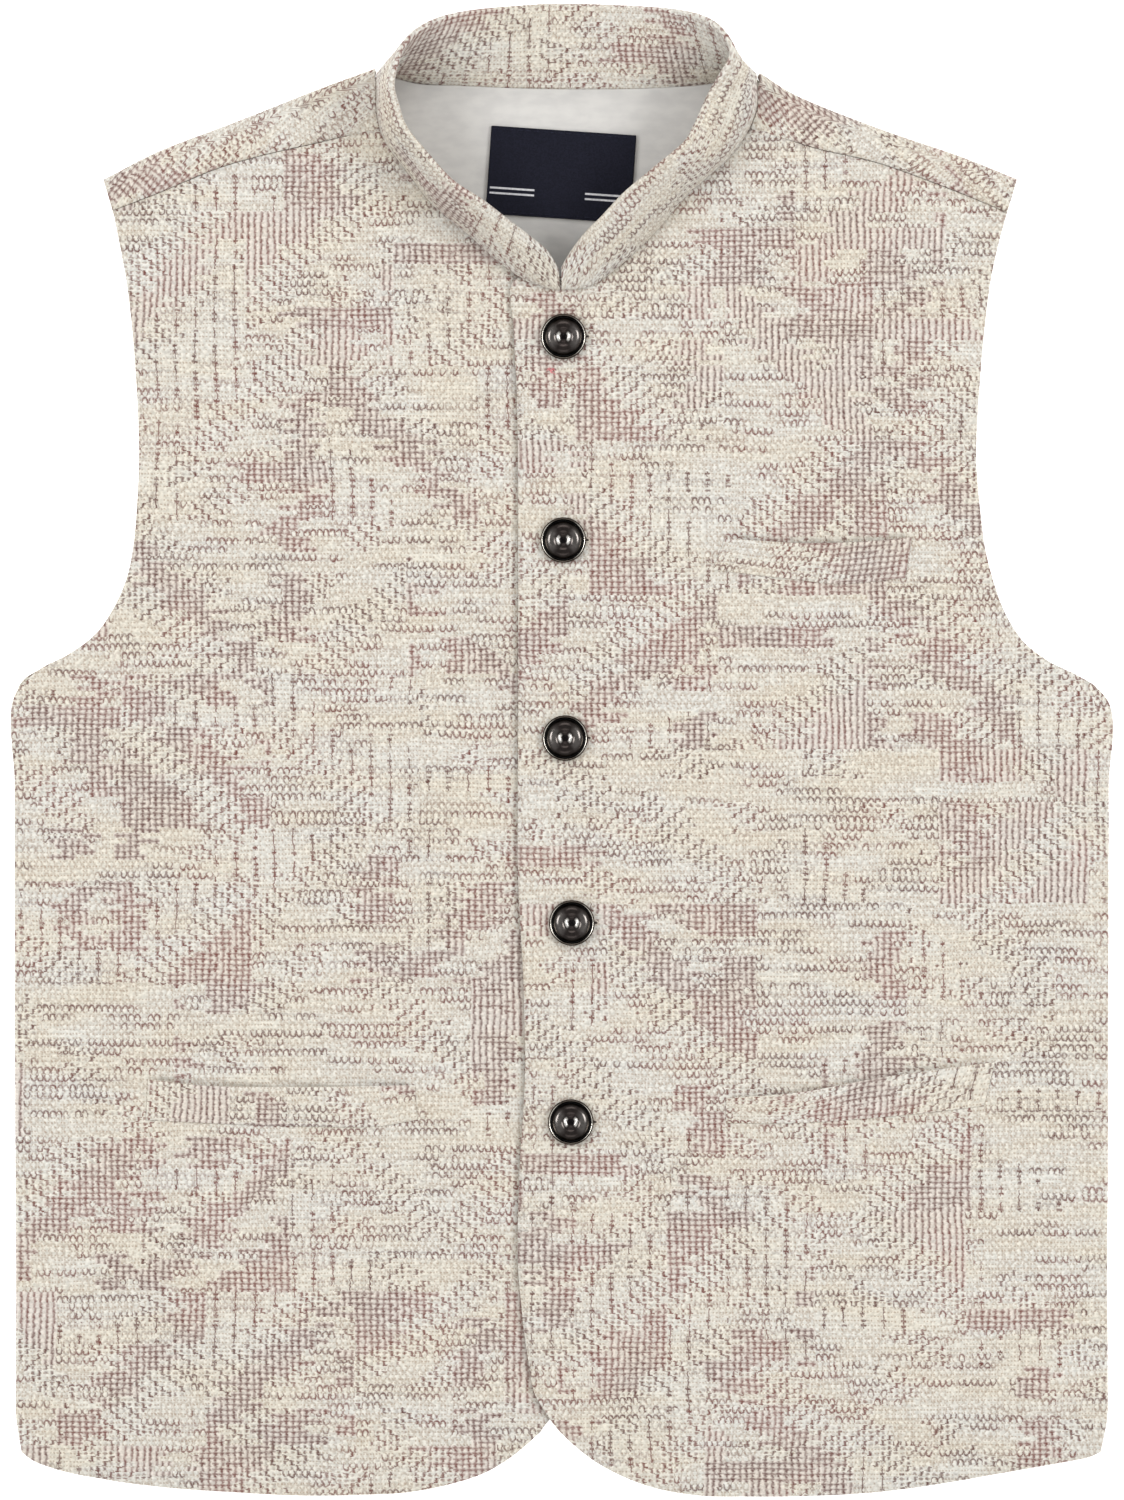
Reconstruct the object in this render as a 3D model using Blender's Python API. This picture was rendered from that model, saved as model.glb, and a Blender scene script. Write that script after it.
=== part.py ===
"""Sleeveless jacket with a standing band collar, laid flat with its front up.

The surface it lies on is z = 0. The collar is at +Y, the hem at -Y, and the wearer's
left side at +X. The wearer's left front buttons over the right one. Every piece that
is cut and sewn on is a closed solid of its own, and tables are in millimetres.
"""

import math

import bpy
import numpy as np
from mathutils import Vector

MM = 0.001

# Layers, from the surface up
CLOTH = 1.8            # wall of a panel, outer cloth with its fusing
GAP = 0.3              # between pieces that touch
BAND_WALL = 2.4        # wall of the collar band
LINING_WALL = 1.0
LABEL_WALL = 1.0
WELT_WALL = 1.3
UNDER_FRONT = 5.3      # top of the right front where the left one laps over it
OVER_FRONT = UNDER_FRONT + GAP + CLOTH
BODY = 6.4             # top of both fronts, away from the lap
SHOULDER_FOLD = 3.5    # outer radius of the fold where the back turns over the shoulder
SHOULDER = 2 * SHOULDER_FOLD

# Where the fronts leave the height of the lap, and where they rise to the shoulder
LAP_EASE = (20.0, 80.0)
SHOULDER_RISE = (188.0, 232.0)
# Below the back's hem the fronts sink towards the surface
HEM_SINK_FROM, HEM_SINK_TO, HEM_SINK = -250.0, -286.0, 2.9
# The side edge of a front rolls down to the back, and past the back's hem further
ROLL_END, ROLL_END_AT_HEM = CLOTH + GAP + 0.5, 1.3
ROLL_DROPS_FROM, ROLL_DROPS_TO = -259.0, -266.0
OPEN_EDGE_DROP, OPEN_EDGE_WIDTH = 0.9, 9.0
LAP_LEVEL = (17.0, 36.0)   # open edges stay level where the fronts lap, and drop past it
HEM_DROP_EASE = (0.0, 30.0)    # and the hem's edge stays level near the side
NECK_MARGIN = 3.0      # how far a front runs on under the collar band

# Side edge and armhole, from the hem up: height, then left and right of the middle
SIDE = (
    # y, left x, right x
    (-271.0, -208.5, 207.5),
    (-258.0, -210.6, 210.0),
    (-130.0, -211.0, 210.4),
    (0.0, -211.2, 210.5),
    (15.0, -211.2, 210.0),
)
HEM_CURVE_TOP = -202.0     # the hem's curve runs up both edges of a front to here
ARMHOLE = (
    # y left, x left, y right, x right
    (22.0, -210.4, 19.5, 209.6),
    (27.5, -207.0, 25.0, 204.5),
    (34.3, -194.4, 30.0, 195.0),
    (41.0, -183.5, 37.5, 181.5),
    (50.5, -175.2, 49.7, 172.0),
    (65.1, -168.2, 65.1, 165.9),
    (80.5, -165.1, 80.5, 162.4),
    (111.4, -163.2, 111.4, 159.5),
    (142.2, -164.3, 142.2, 160.9),
    (173.0, -167.0, 173.0, 163.9),
    (190.0, -169.8, 190.0, 166.9),
    (207.5, -173.2, 206.8, 171.3),
)
# Forward shoulder seam, from the collar out to the armhole
SHOULDER_SEAM = {
    "left": (
        (-72.3, 239.0), (-93.0, 233.9), (-117.7, 228.2), (-135.0, 222.9), (-154.7, 214.6), (-173.2, 207.5),
    ),
    "right": ((76.0, 238.8), (96.9, 231.6), (120.8, 226.0), (146.6, 216.8), (171.3, 206.8)),
}
# Fold over the shoulder, from the collar out to the tip
SHOULDER_EDGE = {
    "left": ((-72.3, 262.2), (-93.4, 254.5), (-124.3, 242.3), (-155.1, 230.5), (-177.0, 219.4)),
    "right": ((76.0, 260.6), (91.5, 251.2), (122.3, 239.0), (153.2, 228.4), (175.2, 219.6)),
}

# Seam between collar and body, from the middle front round each side
NECK_SEAM = {
    "left": (
        (0.0, 176.4), (-7.1, 177.4), (-14.4, 180.1), (-24.9, 187.6), (-36.8, 198.2),
        (-48.5, 207.5), (-58.8, 220.5), (-68.4, 233.5), (-72.0, 239.0),
    ),
    "right": (
        (-7.1, 177.4), (0.0, 176.4), (10.6, 178.2), (21.4, 185.0), (33.3, 197.0),
        (46.4, 210.2), (60.0, 223.0), (68.5, 232.0), (75.0, 238.8),
    ),
}

# Left front, which laps over: its free edge from the hem's curve up, and its hem outwards
OVER_EDGE_CURVE = ((-5.2, -257.8), (-10.6, -248.9), (-13.3, -235.0), (-15.2, -221.2), (-17.0, -202.0))
OVER_EDGE = (
    (-17.0, -202.0), (-16.5, -158.0), (-14.4, -122.5), (-15.2, -87.1), (-17.1, -50.0), (-17.1, 24.0),
)
OVER_EDGE_TOP = ((-17.1, 24.0), (-17.1, 92.0), (-17.5, 134.1), (-18.7, 156.0), (-18.7, 180.5))
OVER_HEM = (
    (-5.2, -257.8), (-0.2, -263.9), (7.1, -270.5), (16.4, -277.0), (29.5, -282.8), (41.8, -286.3),
    (60.0, -288.0), (99.2, -287.8), (122.3, -286.3), (153.2, -282.0), (184.0, -276.3), (201.0, -273.4),
    (207.5, -271.0),
)
# Right front, which lies under it: the same two edges
UNDER_EDGE_CURVE = ((-5.2, -258.6), (2.0, -249.5), (8.5, -237.0), (12.5, -222.0), (14.5, -202.0))
UNDER_EDGE = ((14.5, -202.0), (14.5, -90.0), (14.5, 24.0))
UNDER_EDGE_TOP = ((14.5, 24.0), (14.5, 100.0), (14.5, 182.5))
UNDER_HEM = (
    (-5.2, -258.6), (-10.6, -265.1), (-16.4, -270.2), (-24.1, -275.9), (-31.8, -279.7), (-47.2, -284.4),
    (-62.6, -286.7), (-93.4, -287.8), (-116.6, -287.0), (-155.1, -284.4), (-186.0, -279.8), (-202.0, -275.2),
    (-208.5, -271.0),
)

# The back's own edges
BACK_HEM = ((-210.6, -258.0), (-110.0, -255.0), (0.0, -254.0), (110.0, -255.0), (210.0, -258.0))
BACK_NECK = (
    (-72.3, 262.2), (-66.0, 258.2), (-55.0, 255.4), (-41.0, 254.8), (-20.0, 253.9), (0.0, 253.4),
    (25.0, 253.5), (44.0, 254.3), (55.0, 255.2), (66.0, 257.9), (76.0, 260.6),
)

# Collar band, round from the left of the middle front: seam with the body and its
# height, the rim as it shows from above, and the band's height along the cloth
COLLAR = (
    # seam x, seam y, seam z, rim x, rim y, band
    (-1.1, 176.7, 9.4, -1.3, 186.4, 10.8),
    (-4.0, 177.0, 9.4, -3.4, 190.2, 15.0),
    (-8.0, 178.2, 9.2, -5.9, 193.9, 18.8),
    (-14.4, 180.5, 8.8, -11.0, 198.0, 22.8),
    (-24.9, 187.9, 8.2, -20.0, 204.8, 25.4),
    (-36.8, 198.5, 7.1, -29.6, 212.1, 27.6),
    (-50.3, 209.9, 7.3, -40.6, 219.0, 29.2),
    (-58.8, 220.8, 7.6, -50.3, 229.0, 30.0),
    (-68.4, 234.0, 7.7, -58.9, 239.4, 31.0),
    (-71.5, 244.5, 7.4, -62.3, 248.6, 31.6),
    (-71.7, 253.8, 6.0, -64.2, 257.2, 32.0),
    (-71.6, 260.4, 4.2, -61.8, 270.0, 32.6),
    (-68.2, 261.2, 3.4, -58.0, 276.8, 33.0),
    (-63.4, 260.6, 2.6, -52.6, 281.2, 33.4),
    (-54.9, 258.6, 1.6, -45.0, 284.4, 33.8),
    (-41.4, 257.4, 0.6, -34.0, 286.4, 34.0),
    (-22.0, 255.9, 0.0, -19.6, 287.5, 34.0),
    (0.0, 255.2, 0.0, -0.8, 288.2, 34.0),
    (34.0, 255.4, 0.0, 29.9, 287.4, 34.0),
    (53.0, 257.6, 1.4, 45.4, 286.3, 33.8),
    (61.5, 259.4, 2.3, 55.3, 283.9, 33.6),
    (67.7, 260.9, 3.0, 61.5, 279.3, 33.2),
    (72.0, 261.4, 3.6, 64.6, 272.3, 32.8),
    (74.7, 260.4, 4.2, 63.0, 266.0, 32.5),
    (75.0, 255.8, 5.9, 58.7, 258.8, 32.2),
    (75.0, 248.0, 7.3, 55.1, 253.0, 32.0),
    (72.2, 239.5, 7.8, 52.2, 246.9, 31.8),
    (65.7, 229.2, 7.8, 49.5, 240.8, 31.4),
    (57.2, 221.4, 7.8, 45.6, 234.2, 31.0),
    (46.4, 211.4, 7.8, 32.9, 223.6, 30.0),
    (37.6, 201.0, 8.0, 22.6, 215.0, 29.0),
    (27.2, 190.4, 8.3, 13.7, 205.7, 26.9),
    (16.0, 181.4, 8.9, 9.0, 201.0, 25.0),
    (10.6, 178.3, 9.2, 4.8, 196.0, 21.2),
    (4.6, 177.0, 9.4, 2.0, 191.6, 16.4),
    (-0.3, 176.6, 9.4, -0.5, 186.9, 11.5),
)
# How much a steep part of the band curves from upright to leaning, in plan and in height
BAND_LEAN, BAND_RISE = 0.8, 0.3
BAND_SECTIONS = 64
BAND_SHARES = (0.0, 0.1, 0.28, 0.5, 0.75, 1.0)     # rows of the band, as shares of its height

# Pieces that lie on a panel: their top and bottom edges, from left to right
WELTS = {
    "chest_welt": {
        "front": "over",
        "top": ((62.6, 81.3), (90.4, 79.4), (115.0, 79.9), (134.7, 81.7)),
        "bottom": ((58.0, 69.0), (87.7, 65.5), (107.7, 63.6), (132.0, 65.9)),
    },
    "lower_welt_right": {
        "front": "under",
        "top": ((-159.7, -127.1), (-136.2, -129.8), (-98.8, -130.2), (-56.8, -129.5)),
        "bottom": ((-160.5, -142.9), (-118.5, -144.9), (-75.3, -145.6), (-56.1, -142.9)),
    },
    "lower_welt_left": {
        "front": "over",
        "top": ((63.0, -134.5), (91.9, -132.2), (123.9, -126.4), (166.6, -120.6)),
        "bottom": ((63.0, -144.1), (91.9, -144.1), (132.3, -141.0), (162.4, -137.5)),
    },
}
# The lining shows inside the neck: it runs up to the back's neck edge, and down under the fronts
LINING_EDGES = {
    "top": BACK_NECK[1:-1],
    "bottom": ((-52.0, 160.0), (0.0, 158.0), (52.0, 160.0)),
}
LABEL_SIZE = (56.0, 34.0)
LABEL_AT = (-0.6, 221.4)
LABEL_TURN = math.radians(-3.9)

# Columns and rows of the pieces that lie on a panel
WELT_GRID = (14, 3)
LINING_GRID = (14, 4)
LABEL_GRID = (4, 3)

# Domed buttons with a rolled rim, down the middle front
BUTTONS_AT = ((0.4, 158.9), (0.3, 80.5), (1.0, 4.2), (3.6, -67.0), (3.2, -143.7))
BUTTON_RADIUS = 8.8
BUTTON_PROFILE = (
    # radius as a share of the button's, height in mm
    (0.80, 0.0), (1.00, 0.7), (1.00, 1.9), (0.94, 2.5), (0.85, 2.2), (0.79, 1.6), (0.68, 2.5), (0.35, 3.4),
    (0.22, 3.0),
)
BUTTON_MIDDLE = 3.1
BUTTON_SIDES = 24

COLOURS = {
    # red, green, blue, roughness, metallic
    "jacquard_cloth": (0.66, 0.60, 0.51, 0.9, 0.0),
    "lining": (0.62, 0.61, 0.59, 0.7, 0.0),
    "woven_label": (0.03, 0.03, 0.05, 0.8, 0.0),
    "gunmetal": (0.06, 0.06, 0.06, 0.3, 0.8),
}
# Grid of a front: rows up to the waist, the underarm and the neck, then round the neck,
# and columns by how far they lie from the free edge and from the side
EDGE_ROWS, NECK_ROWS = (5, 6, 8), 8
HEM_ROWS = 8           # rows at the hem whose points are evened out round its curve
FRONT_WIDTH = 227.0
FROM_FREE_EDGE = (0.0, 4.0, 9.0, 15.0, 23.0, 34.0, 48.0, 66.0, 88.0, 112.0, 138.0, 164.0, 188.0)
FROM_SIDE = (12.0, 6.5, 4.2, 2.6, 1.4, 0.5, 0.0)
UNDERARM_ROWS = 1.6    # rows over which the rolled side opens into the armhole

# Grid of the back: rows up its hem's corner, to the underarm and to the shoulder, steps along
# each shoulder and the neck, and the turn over the shoulder with what is past it
BACK_ROWS = (3, 6, 12)
SHOULDER_STEPS, NECK_STEPS = 7, 10
TURN_ANGLES = (-90, -60, -30, 0, 30, 60, 90)
PAST_TURN = (0.35, 0.7, 1.0)

# Edges sharper than this are shaded as corners, in degrees
CLOTH_CORNER, BUTTON_CORNER = 50, 40


def clear_scene():
    for item in list(bpy.data.objects):
        bpy.data.objects.remove(item, do_unlink=True)


def material(name):
    found = bpy.data.materials.get(name)
    if found:
        return found
    red, green, blue, roughness, metallic = COLOURS[name]
    made = bpy.data.materials.new(name)
    made.use_nodes = True
    shader = made.node_tree.nodes["Principled BSDF"]
    shader.inputs["Base Color"].default_value = (red, green, blue, 1.0)
    shader.inputs["Roughness"].default_value = roughness
    shader.inputs["Metallic"].default_value = metallic
    return made


def ease(start, end, value):
    """0 up to start, 1 from end on, and smooth between them."""
    share = np.clip((value - start) / (end - start), 0.0, 1.0)
    return share * share * (3.0 - 2.0 * share)


def smooth_curve(points, fine=24):
    """A Catmull-Rom curve through points, as many close points."""
    points = np.array(points, float)
    ahead = 2 * points[0] - points[1]
    behind = 2 * points[-1] - points[-2]
    held = np.vstack([ahead, points, behind])
    t = np.linspace(0.0, 1.0, fine, endpoint=False)[:, None]
    runs = []
    for a, b, c, d in zip(held, held[1:], held[2:], held[3:]):
        square, cube = 2 * a - 5 * b + 4 * c - d, 3 * b - a - 3 * c + d
        runs.append(0.5 * (2 * b + (c - a) * t + square * t**2 + cube * t**3))
    return np.vstack(runs + [points[-1:]])


def lengths(points):
    return np.concatenate([[0.0], np.cumsum(np.linalg.norm(np.diff(points, axis=0), axis=1))])


def at_shares(points, shares):
    """The points of a curve at shares of its length."""
    curve = smooth_curve(points)
    along = lengths(curve)
    wanted = np.array(shares) * along[-1]
    return np.stack([np.interp(wanted, along, values) for values in curve.T], 1)


def evenly(points, count):
    return at_shares(points, np.linspace(0.0, 1.0, count))


def joined(runs, counts):
    """Curves that meet at corners, as one row of points with so many steps in each."""
    parts = [evenly(run, count + 1) for run, count in zip(runs, counts)]
    return np.vstack([parts[0]] + [part[1:] for part in parts[1:]])


def moved_aside(points, distance):
    """A plan curve moved to its left by a distance."""
    ahead = np.gradient(points, axis=0)
    ahead /= np.linalg.norm(ahead, axis=1)[:, None]
    return points + distance * np.stack([-ahead[:, 1], ahead[:, 0]], 1)


def patch(bottom, top, start, end, across, up):
    """A plan grid between four edges; across and up are the shares of its columns and rows."""
    u = across[None, :, None]
    v = up[:, None, None]
    ruled = (1 - v) * bottom[None] + v * top[None] + (1 - u) * start[:, None] + u * end[:, None]
    low_corners = (1 - v) * ((1 - u) * bottom[0] + u * bottom[-1])
    high_corners = v * ((1 - u) * top[0] + u * top[-1])
    return ruled - low_corners - high_corners


def relaxed(plan, across, up, rounds=60):
    """A plan grid with its inner points drawn between their neighbours, at the same spacing."""
    before, after = np.diff(across)[:-1, None], np.diff(across)[1:, None]
    below, above = np.diff(up)[:-1, None, None], np.diff(up)[1:, None, None]
    plan = plan.copy()
    for _ in range(rounds):
        side = (plan[1:-1, :-2] * after + plan[1:-1, 2:] * before) / (before + after)
        rise = (plan[:-2, 1:-1] * above + plan[2:, 1:-1] * below) / (below + above)
        plan[1:-1, 1:-1] = (side + rise) / 2
    return plan


def wall(name, grids, thickness, slot, faces_up=True):
    """A closed wall on one or more grids of outer points that share their meeting edges."""
    mesh = bpy.data.meshes.new(name)
    numbered = {}
    faces = []
    for grid in grids:
        index = [[numbered.setdefault(tuple(np.round(p, 5)), len(numbered)) for p in row] for row in grid]
        for low, high in zip(index, index[1:]):
            for a, b, c, d in zip(low, low[1:], high[1:], high):
                faces.append((a, b, c, d) if faces_up else (d, c, b, a))
    mesh.from_pydata([Vector(p) * MM for p in numbered], [], faces)
    made = bpy.data.objects.new(name, mesh)
    bpy.context.collection.objects.link(made)
    made.data.materials.append(material(slot))
    solid = made.modifiers.new("wall", "SOLIDIFY")
    solid.thickness = thickness * MM
    solid.offset = -1.0
    solid.use_even_offset = True
    mesh.shade_smooth()
    mesh.set_sharp_from_angle(angle=math.radians(CLOTH_CORNER))
    return made


def side_edge(which, counts):
    """Side edge and armhole of one half, with so many steps to the hem curve's top, underarm and seam."""
    if which == "left":
        side = [(left, y) for y, left, _ in SIDE]
        armhole = [(x, y) for y, x, _, _ in ARMHOLE]
    else:
        side = [(right, y) for y, _, right in SIDE]
        armhole = [(x, y) for _, _, y, x in ARMHOLE]
    curve_top = (side[1][0], HEM_CURVE_TOP)
    return joined([side[:2] + [curve_top], [curve_top] + side[2:] + armhole[:1], armhole], counts)


def front_height(x, y, lap_height):
    """Top of a front over the back, before its edges are turned down."""
    away = ease(*LAP_EASE, np.abs(x))
    body = lap_height + (BODY - lap_height) * away
    raised = body + (SHOULDER - body) * ease(*SHOULDER_RISE, y)
    return raised - HEM_SINK * ease(-HEM_SINK_FROM, -HEM_SINK_TO, -y)


def front_panel(name, which, lap_height, edge_runs, hem, neck):
    """One front: rolled down to the back at its side, open at hem, armhole and neck."""
    edge = joined(edge_runs, EDGE_ROWS)
    to_neck = NECK_MARGIN if which == "right" else -NECK_MARGIN
    neck_row = moved_aside(evenly(neck, NECK_ROWS + 1), to_neck)
    start = np.vstack([edge, neck_row[1:]])
    end = side_edge(which, (EDGE_ROWS[0], EDGE_ROWS[1], EDGE_ROWS[2] + NECK_ROWS))
    across = np.array([d / FRONT_WIDTH for d in FROM_FREE_EDGE] + [1 - d / FRONT_WIDTH for d in FROM_SIDE])
    up = (lengths(start) / lengths(start)[-1] + lengths(end) / lengths(end)[-1]) / 2
    neck_x, neck_y = SHOULDER_SEAM[which][0]
    seam = at_shares(((neck_x - to_neck, neck_y),) + SHOULDER_SEAM[which], across)
    seam[:, 1] -= GAP
    start[-1], end[-1] = seam[0], seam[-1]
    plan = patch(at_shares(hem, across), seam, start, end, across, up)
    plan[:HEM_ROWS] = relaxed(plan[:HEM_ROWS], across, up[:HEM_ROWS])
    x, y = plan[..., 0], plan[..., 1]
    z = front_height(x, y, lap_height)
    from_hem = np.linalg.norm(plan - plan[:1], axis=2)
    from_side_edge = np.linalg.norm(plan - plan[:, -1:], axis=2)
    hem_share = np.clip(1 - from_hem / OPEN_EDGE_WIDTH, 0, 1) ** 2
    z -= OPEN_EDGE_DROP * hem_share * ease(*HEM_DROP_EASE, from_side_edge) * ease(*LAP_LEVEL, np.abs(x))
    armhole_edge = z - OPEN_EDGE_DROP * np.clip(1 - from_side_edge / OPEN_EDGE_WIDTH, 0, 1) ** 2
    end_height = ROLL_END + (ROLL_END_AT_HEM - ROLL_END) * ease(-ROLL_DROPS_FROM, -ROLL_DROPS_TO, -y)
    radius = z - end_height
    inside = np.clip(radius - from_side_edge, 0, None)
    rolled = end_height + np.sqrt(np.clip(radius**2 - inside**2, 0, None))
    underarm = EDGE_ROWS[0] + EDGE_ROWS[1]
    open_share = ease(underarm - UNDERARM_ROWS, underarm, np.arange(len(up))[:, None])
    z = rolled * (1 - open_share) + armhole_edge * open_share
    return wall(name, [np.dstack([x, y, z])], CLOTH, "jacquard_cloth", faces_up=which == "right")


def shoulder_wrap(edge, seam):
    """Outer points of the back where it turns over the shoulder and runs to the seam."""
    out = edge - seam
    out /= np.linalg.norm(out, axis=1)[:, None]
    rows = []
    for angle in np.radians(TURN_ANGLES):
        plan = edge - SHOULDER_FOLD * (1 - math.cos(angle)) * out
        height = SHOULDER_FOLD * (1 + math.sin(angle))
        rows.append(np.column_stack([plan, np.full(len(plan), height)]))
    turned = rows[-1]
    for share in PAST_TURN:
        plan = turned[:, :2] + share * (seam - turned[:, :2])
        rows.append(np.column_stack([plan, turned[:, 2]]))
    return np.array(rows)


def back_panel():
    """The back: flat on the surface, and turned forward over both shoulders."""
    wraps = []
    for which in ("left", "right"):
        edge = evenly(SHOULDER_EDGE[which], SHOULDER_STEPS + 1)
        seam = evenly(SHOULDER_SEAM[which], SHOULDER_STEPS + 1)
        if which == "left":
            edge, seam = edge[::-1], seam[::-1]
        wraps.append(shoulder_wrap(edge, seam))
    fold_left, fold_right = (turned[0][:, :2] for turned in wraps)
    neck = evenly(BACK_NECK, NECK_STEPS + 1)
    top = np.vstack([fold_left, neck[1:-1], fold_right])
    across = lengths(top) / lengths(top)[-1]
    hem_rows = BACK_ROWS[0]
    sides = []
    for which, hem_corner, tip in (("left", BACK_HEM[0], top[0]), ("right", BACK_HEM[-1], top[-1])):
        edge = side_edge(which, BACK_ROWS)
        edge[:hem_rows + 1] = np.linspace(hem_corner, edge[hem_rows], hem_rows + 1)
        edge[-1] = tip
        sides.append(edge)
    up = lengths(sides[0]) / lengths(sides[0])[-1]
    plan = patch(at_shares(BACK_HEM, across), top, sides[0], sides[1], across, up)
    flat = np.dstack([plan, np.zeros(plan.shape[:2])])
    return wall("back", [flat] + wraps, CLOTH, "jacquard_cloth", faces_up=False)


def collar_band():
    """The standing collar: leans in at the front and sides, and lies back behind the neck."""
    rows = []
    for seam_x, seam_y, seam_z, rim_x, rim_y, band in COLLAR:
        reach = math.hypot(rim_x - seam_x, rim_y - seam_y)
        rise = math.sqrt(band**2 - reach**2)
        share = (reach - BAND_WALL * rise / band) / reach
        outer_x, outer_y = seam_x + share * (rim_x - seam_x), seam_y + share * (rim_y - seam_y)
        rows.append((seam_x, seam_y, seam_z, outer_x, outer_y, seam_z + rise))
    sections = evenly(rows, BAND_SECTIONS)
    sections[:, 2] = np.maximum(sections[:, 2], 0.0)
    base, rim = sections[:, :3], sections[:, 3:]
    reach, rise = rim[:, :2] - base[:, :2], rim[:, 2] - base[:, 2]
    steep = rise / np.hypot(rise, np.linalg.norm(reach, axis=1))
    grid = []
    for share in BAND_SHARES:
        plan = base[:, :2] + reach * (share ** (1 + BAND_LEAN * steep))[:, None]
        height = base[:, 2] + rise * (1 - (1 - share) ** (1 + BAND_RISE * steep))
        grid.append(np.column_stack([plan, height]))
    return wall("collar", [np.array(grid)], BAND_WALL, "jacquard_cloth", faces_up=False)


def strip_plan(top, bottom, columns, rows):
    """A plan grid of so many columns and rows between a top and a bottom edge."""
    high, low = evenly(top, columns + 1), evenly(bottom, columns + 1)
    shares = np.linspace(0.0, 1.0, rows + 1)[:, None, None]
    return low[None] + shares * (high - low)[None]


def welt(name, front, top, bottom):
    """A pocket welt, made from the points of the front it lies on, moved out."""
    plan = strip_plan(top, bottom, *WELT_GRID)
    lap = OVER_FRONT if front == "over" else UNDER_FRONT
    z = front_height(plan[..., 0], plan[..., 1], lap) + GAP + WELT_WALL
    return wall(name, [np.dstack([plan, z])], WELT_WALL, "jacquard_cloth")


def back_neck_lining(top_height):
    """The lining that shows inside the neck, flat on the back."""
    plan = strip_plan(LINING_EDGES["top"], LINING_EDGES["bottom"], *LINING_GRID)
    flat = np.dstack([plan, np.full(plan.shape[:2], top_height)])
    return wall("back_neck_lining", [flat], LINING_WALL, "lining")


def label(top_height):
    """The label: a flat rectangle of ribbon, sewn on a little askew."""
    columns, rows = LABEL_GRID
    x, y = np.meshgrid(np.linspace(-0.5, 0.5, columns + 1) * LABEL_SIZE[0],
                       np.linspace(-0.5, 0.5, rows + 1) * LABEL_SIZE[1])
    plan_x = LABEL_AT[0] + x * math.cos(LABEL_TURN) - y * math.sin(LABEL_TURN)
    plan_y = LABEL_AT[1] + x * math.sin(LABEL_TURN) + y * math.cos(LABEL_TURN)
    flat = np.dstack([plan_x, plan_y, np.full(x.shape, top_height)])
    return wall("label", [flat], LABEL_WALL, "woven_label")


def button(name, place, seat):
    """A turned button: flat underneath, with a rolled rim, a groove and a dome."""
    verts = [(0.0, 0.0, 0.0)]
    turns = [2 * math.pi * k / BUTTON_SIDES for k in range(BUTTON_SIDES)]
    for share, height in BUTTON_PROFILE:
        radius = share * BUTTON_RADIUS
        verts += [(radius * math.cos(a), radius * math.sin(a), height) for a in turns]
    verts.append((0.0, 0.0, BUTTON_MIDDLE))
    faces = []
    last = 1 + (len(BUTTON_PROFILE) - 1) * BUTTON_SIDES
    for k in range(BUTTON_SIDES):
        after = (k + 1) % BUTTON_SIDES
        faces.append((0, 1 + after, 1 + k))
        for low in range(1, last, BUTTON_SIDES):
            high = low + BUTTON_SIDES
            faces.append((low + k, low + after, high + after, high + k))
        faces.append((last + k, last + after, len(verts) - 1))
    mesh = bpy.data.meshes.new(name)
    mesh.from_pydata([Vector(v) * MM for v in verts], [], faces)
    made = bpy.data.objects.new(name, mesh)
    bpy.context.collection.objects.link(made)
    made.location = Vector((place[0], place[1], seat)) * MM
    made.data.materials.append(material("gunmetal"))
    mesh.shade_smooth()
    mesh.set_sharp_from_angle(angle=math.radians(BUTTON_CORNER))
    return made


def build():
    clear_scene()
    back_panel()
    front_panel("front_right", "left", UNDER_FRONT, [UNDER_EDGE_CURVE, UNDER_EDGE, UNDER_EDGE_TOP],
                UNDER_HEM, NECK_SEAM["left"])
    front_panel("front_left", "right", OVER_FRONT, [OVER_EDGE_CURVE, OVER_EDGE, OVER_EDGE_TOP],
                OVER_HEM, NECK_SEAM["right"])
    collar_band()
    for name, piece in WELTS.items():
        welt(name, piece["front"], piece["top"], piece["bottom"])
    lining_top = CLOTH + GAP + LINING_WALL
    back_neck_lining(lining_top)
    label(lining_top + GAP + LABEL_WALL)
    for number, place in enumerate(BUTTONS_AT, 1):
        button(f"button_{number}", place, OVER_FRONT + GAP)


build()
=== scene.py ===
"""Looks of the sleeveless jacket: cloth shells on the solids' form, lining, label, buttons and sewing.

The jacket lies on z = 0 with its front up, the collar at +Y and the wearer's left at +X.
Tables are in millimetres and shapes are made in them, and scaled to metres as a mesh is made.
"""

import math
from functools import partialmethod

import bpy
import numpy as np
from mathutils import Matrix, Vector


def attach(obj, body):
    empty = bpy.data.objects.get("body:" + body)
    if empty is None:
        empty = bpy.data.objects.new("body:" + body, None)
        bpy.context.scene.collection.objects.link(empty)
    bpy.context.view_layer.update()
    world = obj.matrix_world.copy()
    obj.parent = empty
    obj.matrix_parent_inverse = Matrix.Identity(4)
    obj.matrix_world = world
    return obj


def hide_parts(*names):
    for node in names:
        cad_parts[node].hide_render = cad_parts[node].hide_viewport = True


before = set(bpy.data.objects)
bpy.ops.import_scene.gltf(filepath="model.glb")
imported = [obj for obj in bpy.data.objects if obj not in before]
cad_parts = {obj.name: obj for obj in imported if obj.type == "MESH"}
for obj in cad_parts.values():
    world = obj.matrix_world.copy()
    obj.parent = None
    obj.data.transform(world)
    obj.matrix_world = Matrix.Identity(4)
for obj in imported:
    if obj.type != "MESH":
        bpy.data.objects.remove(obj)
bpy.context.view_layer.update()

MM = 0.001

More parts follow.
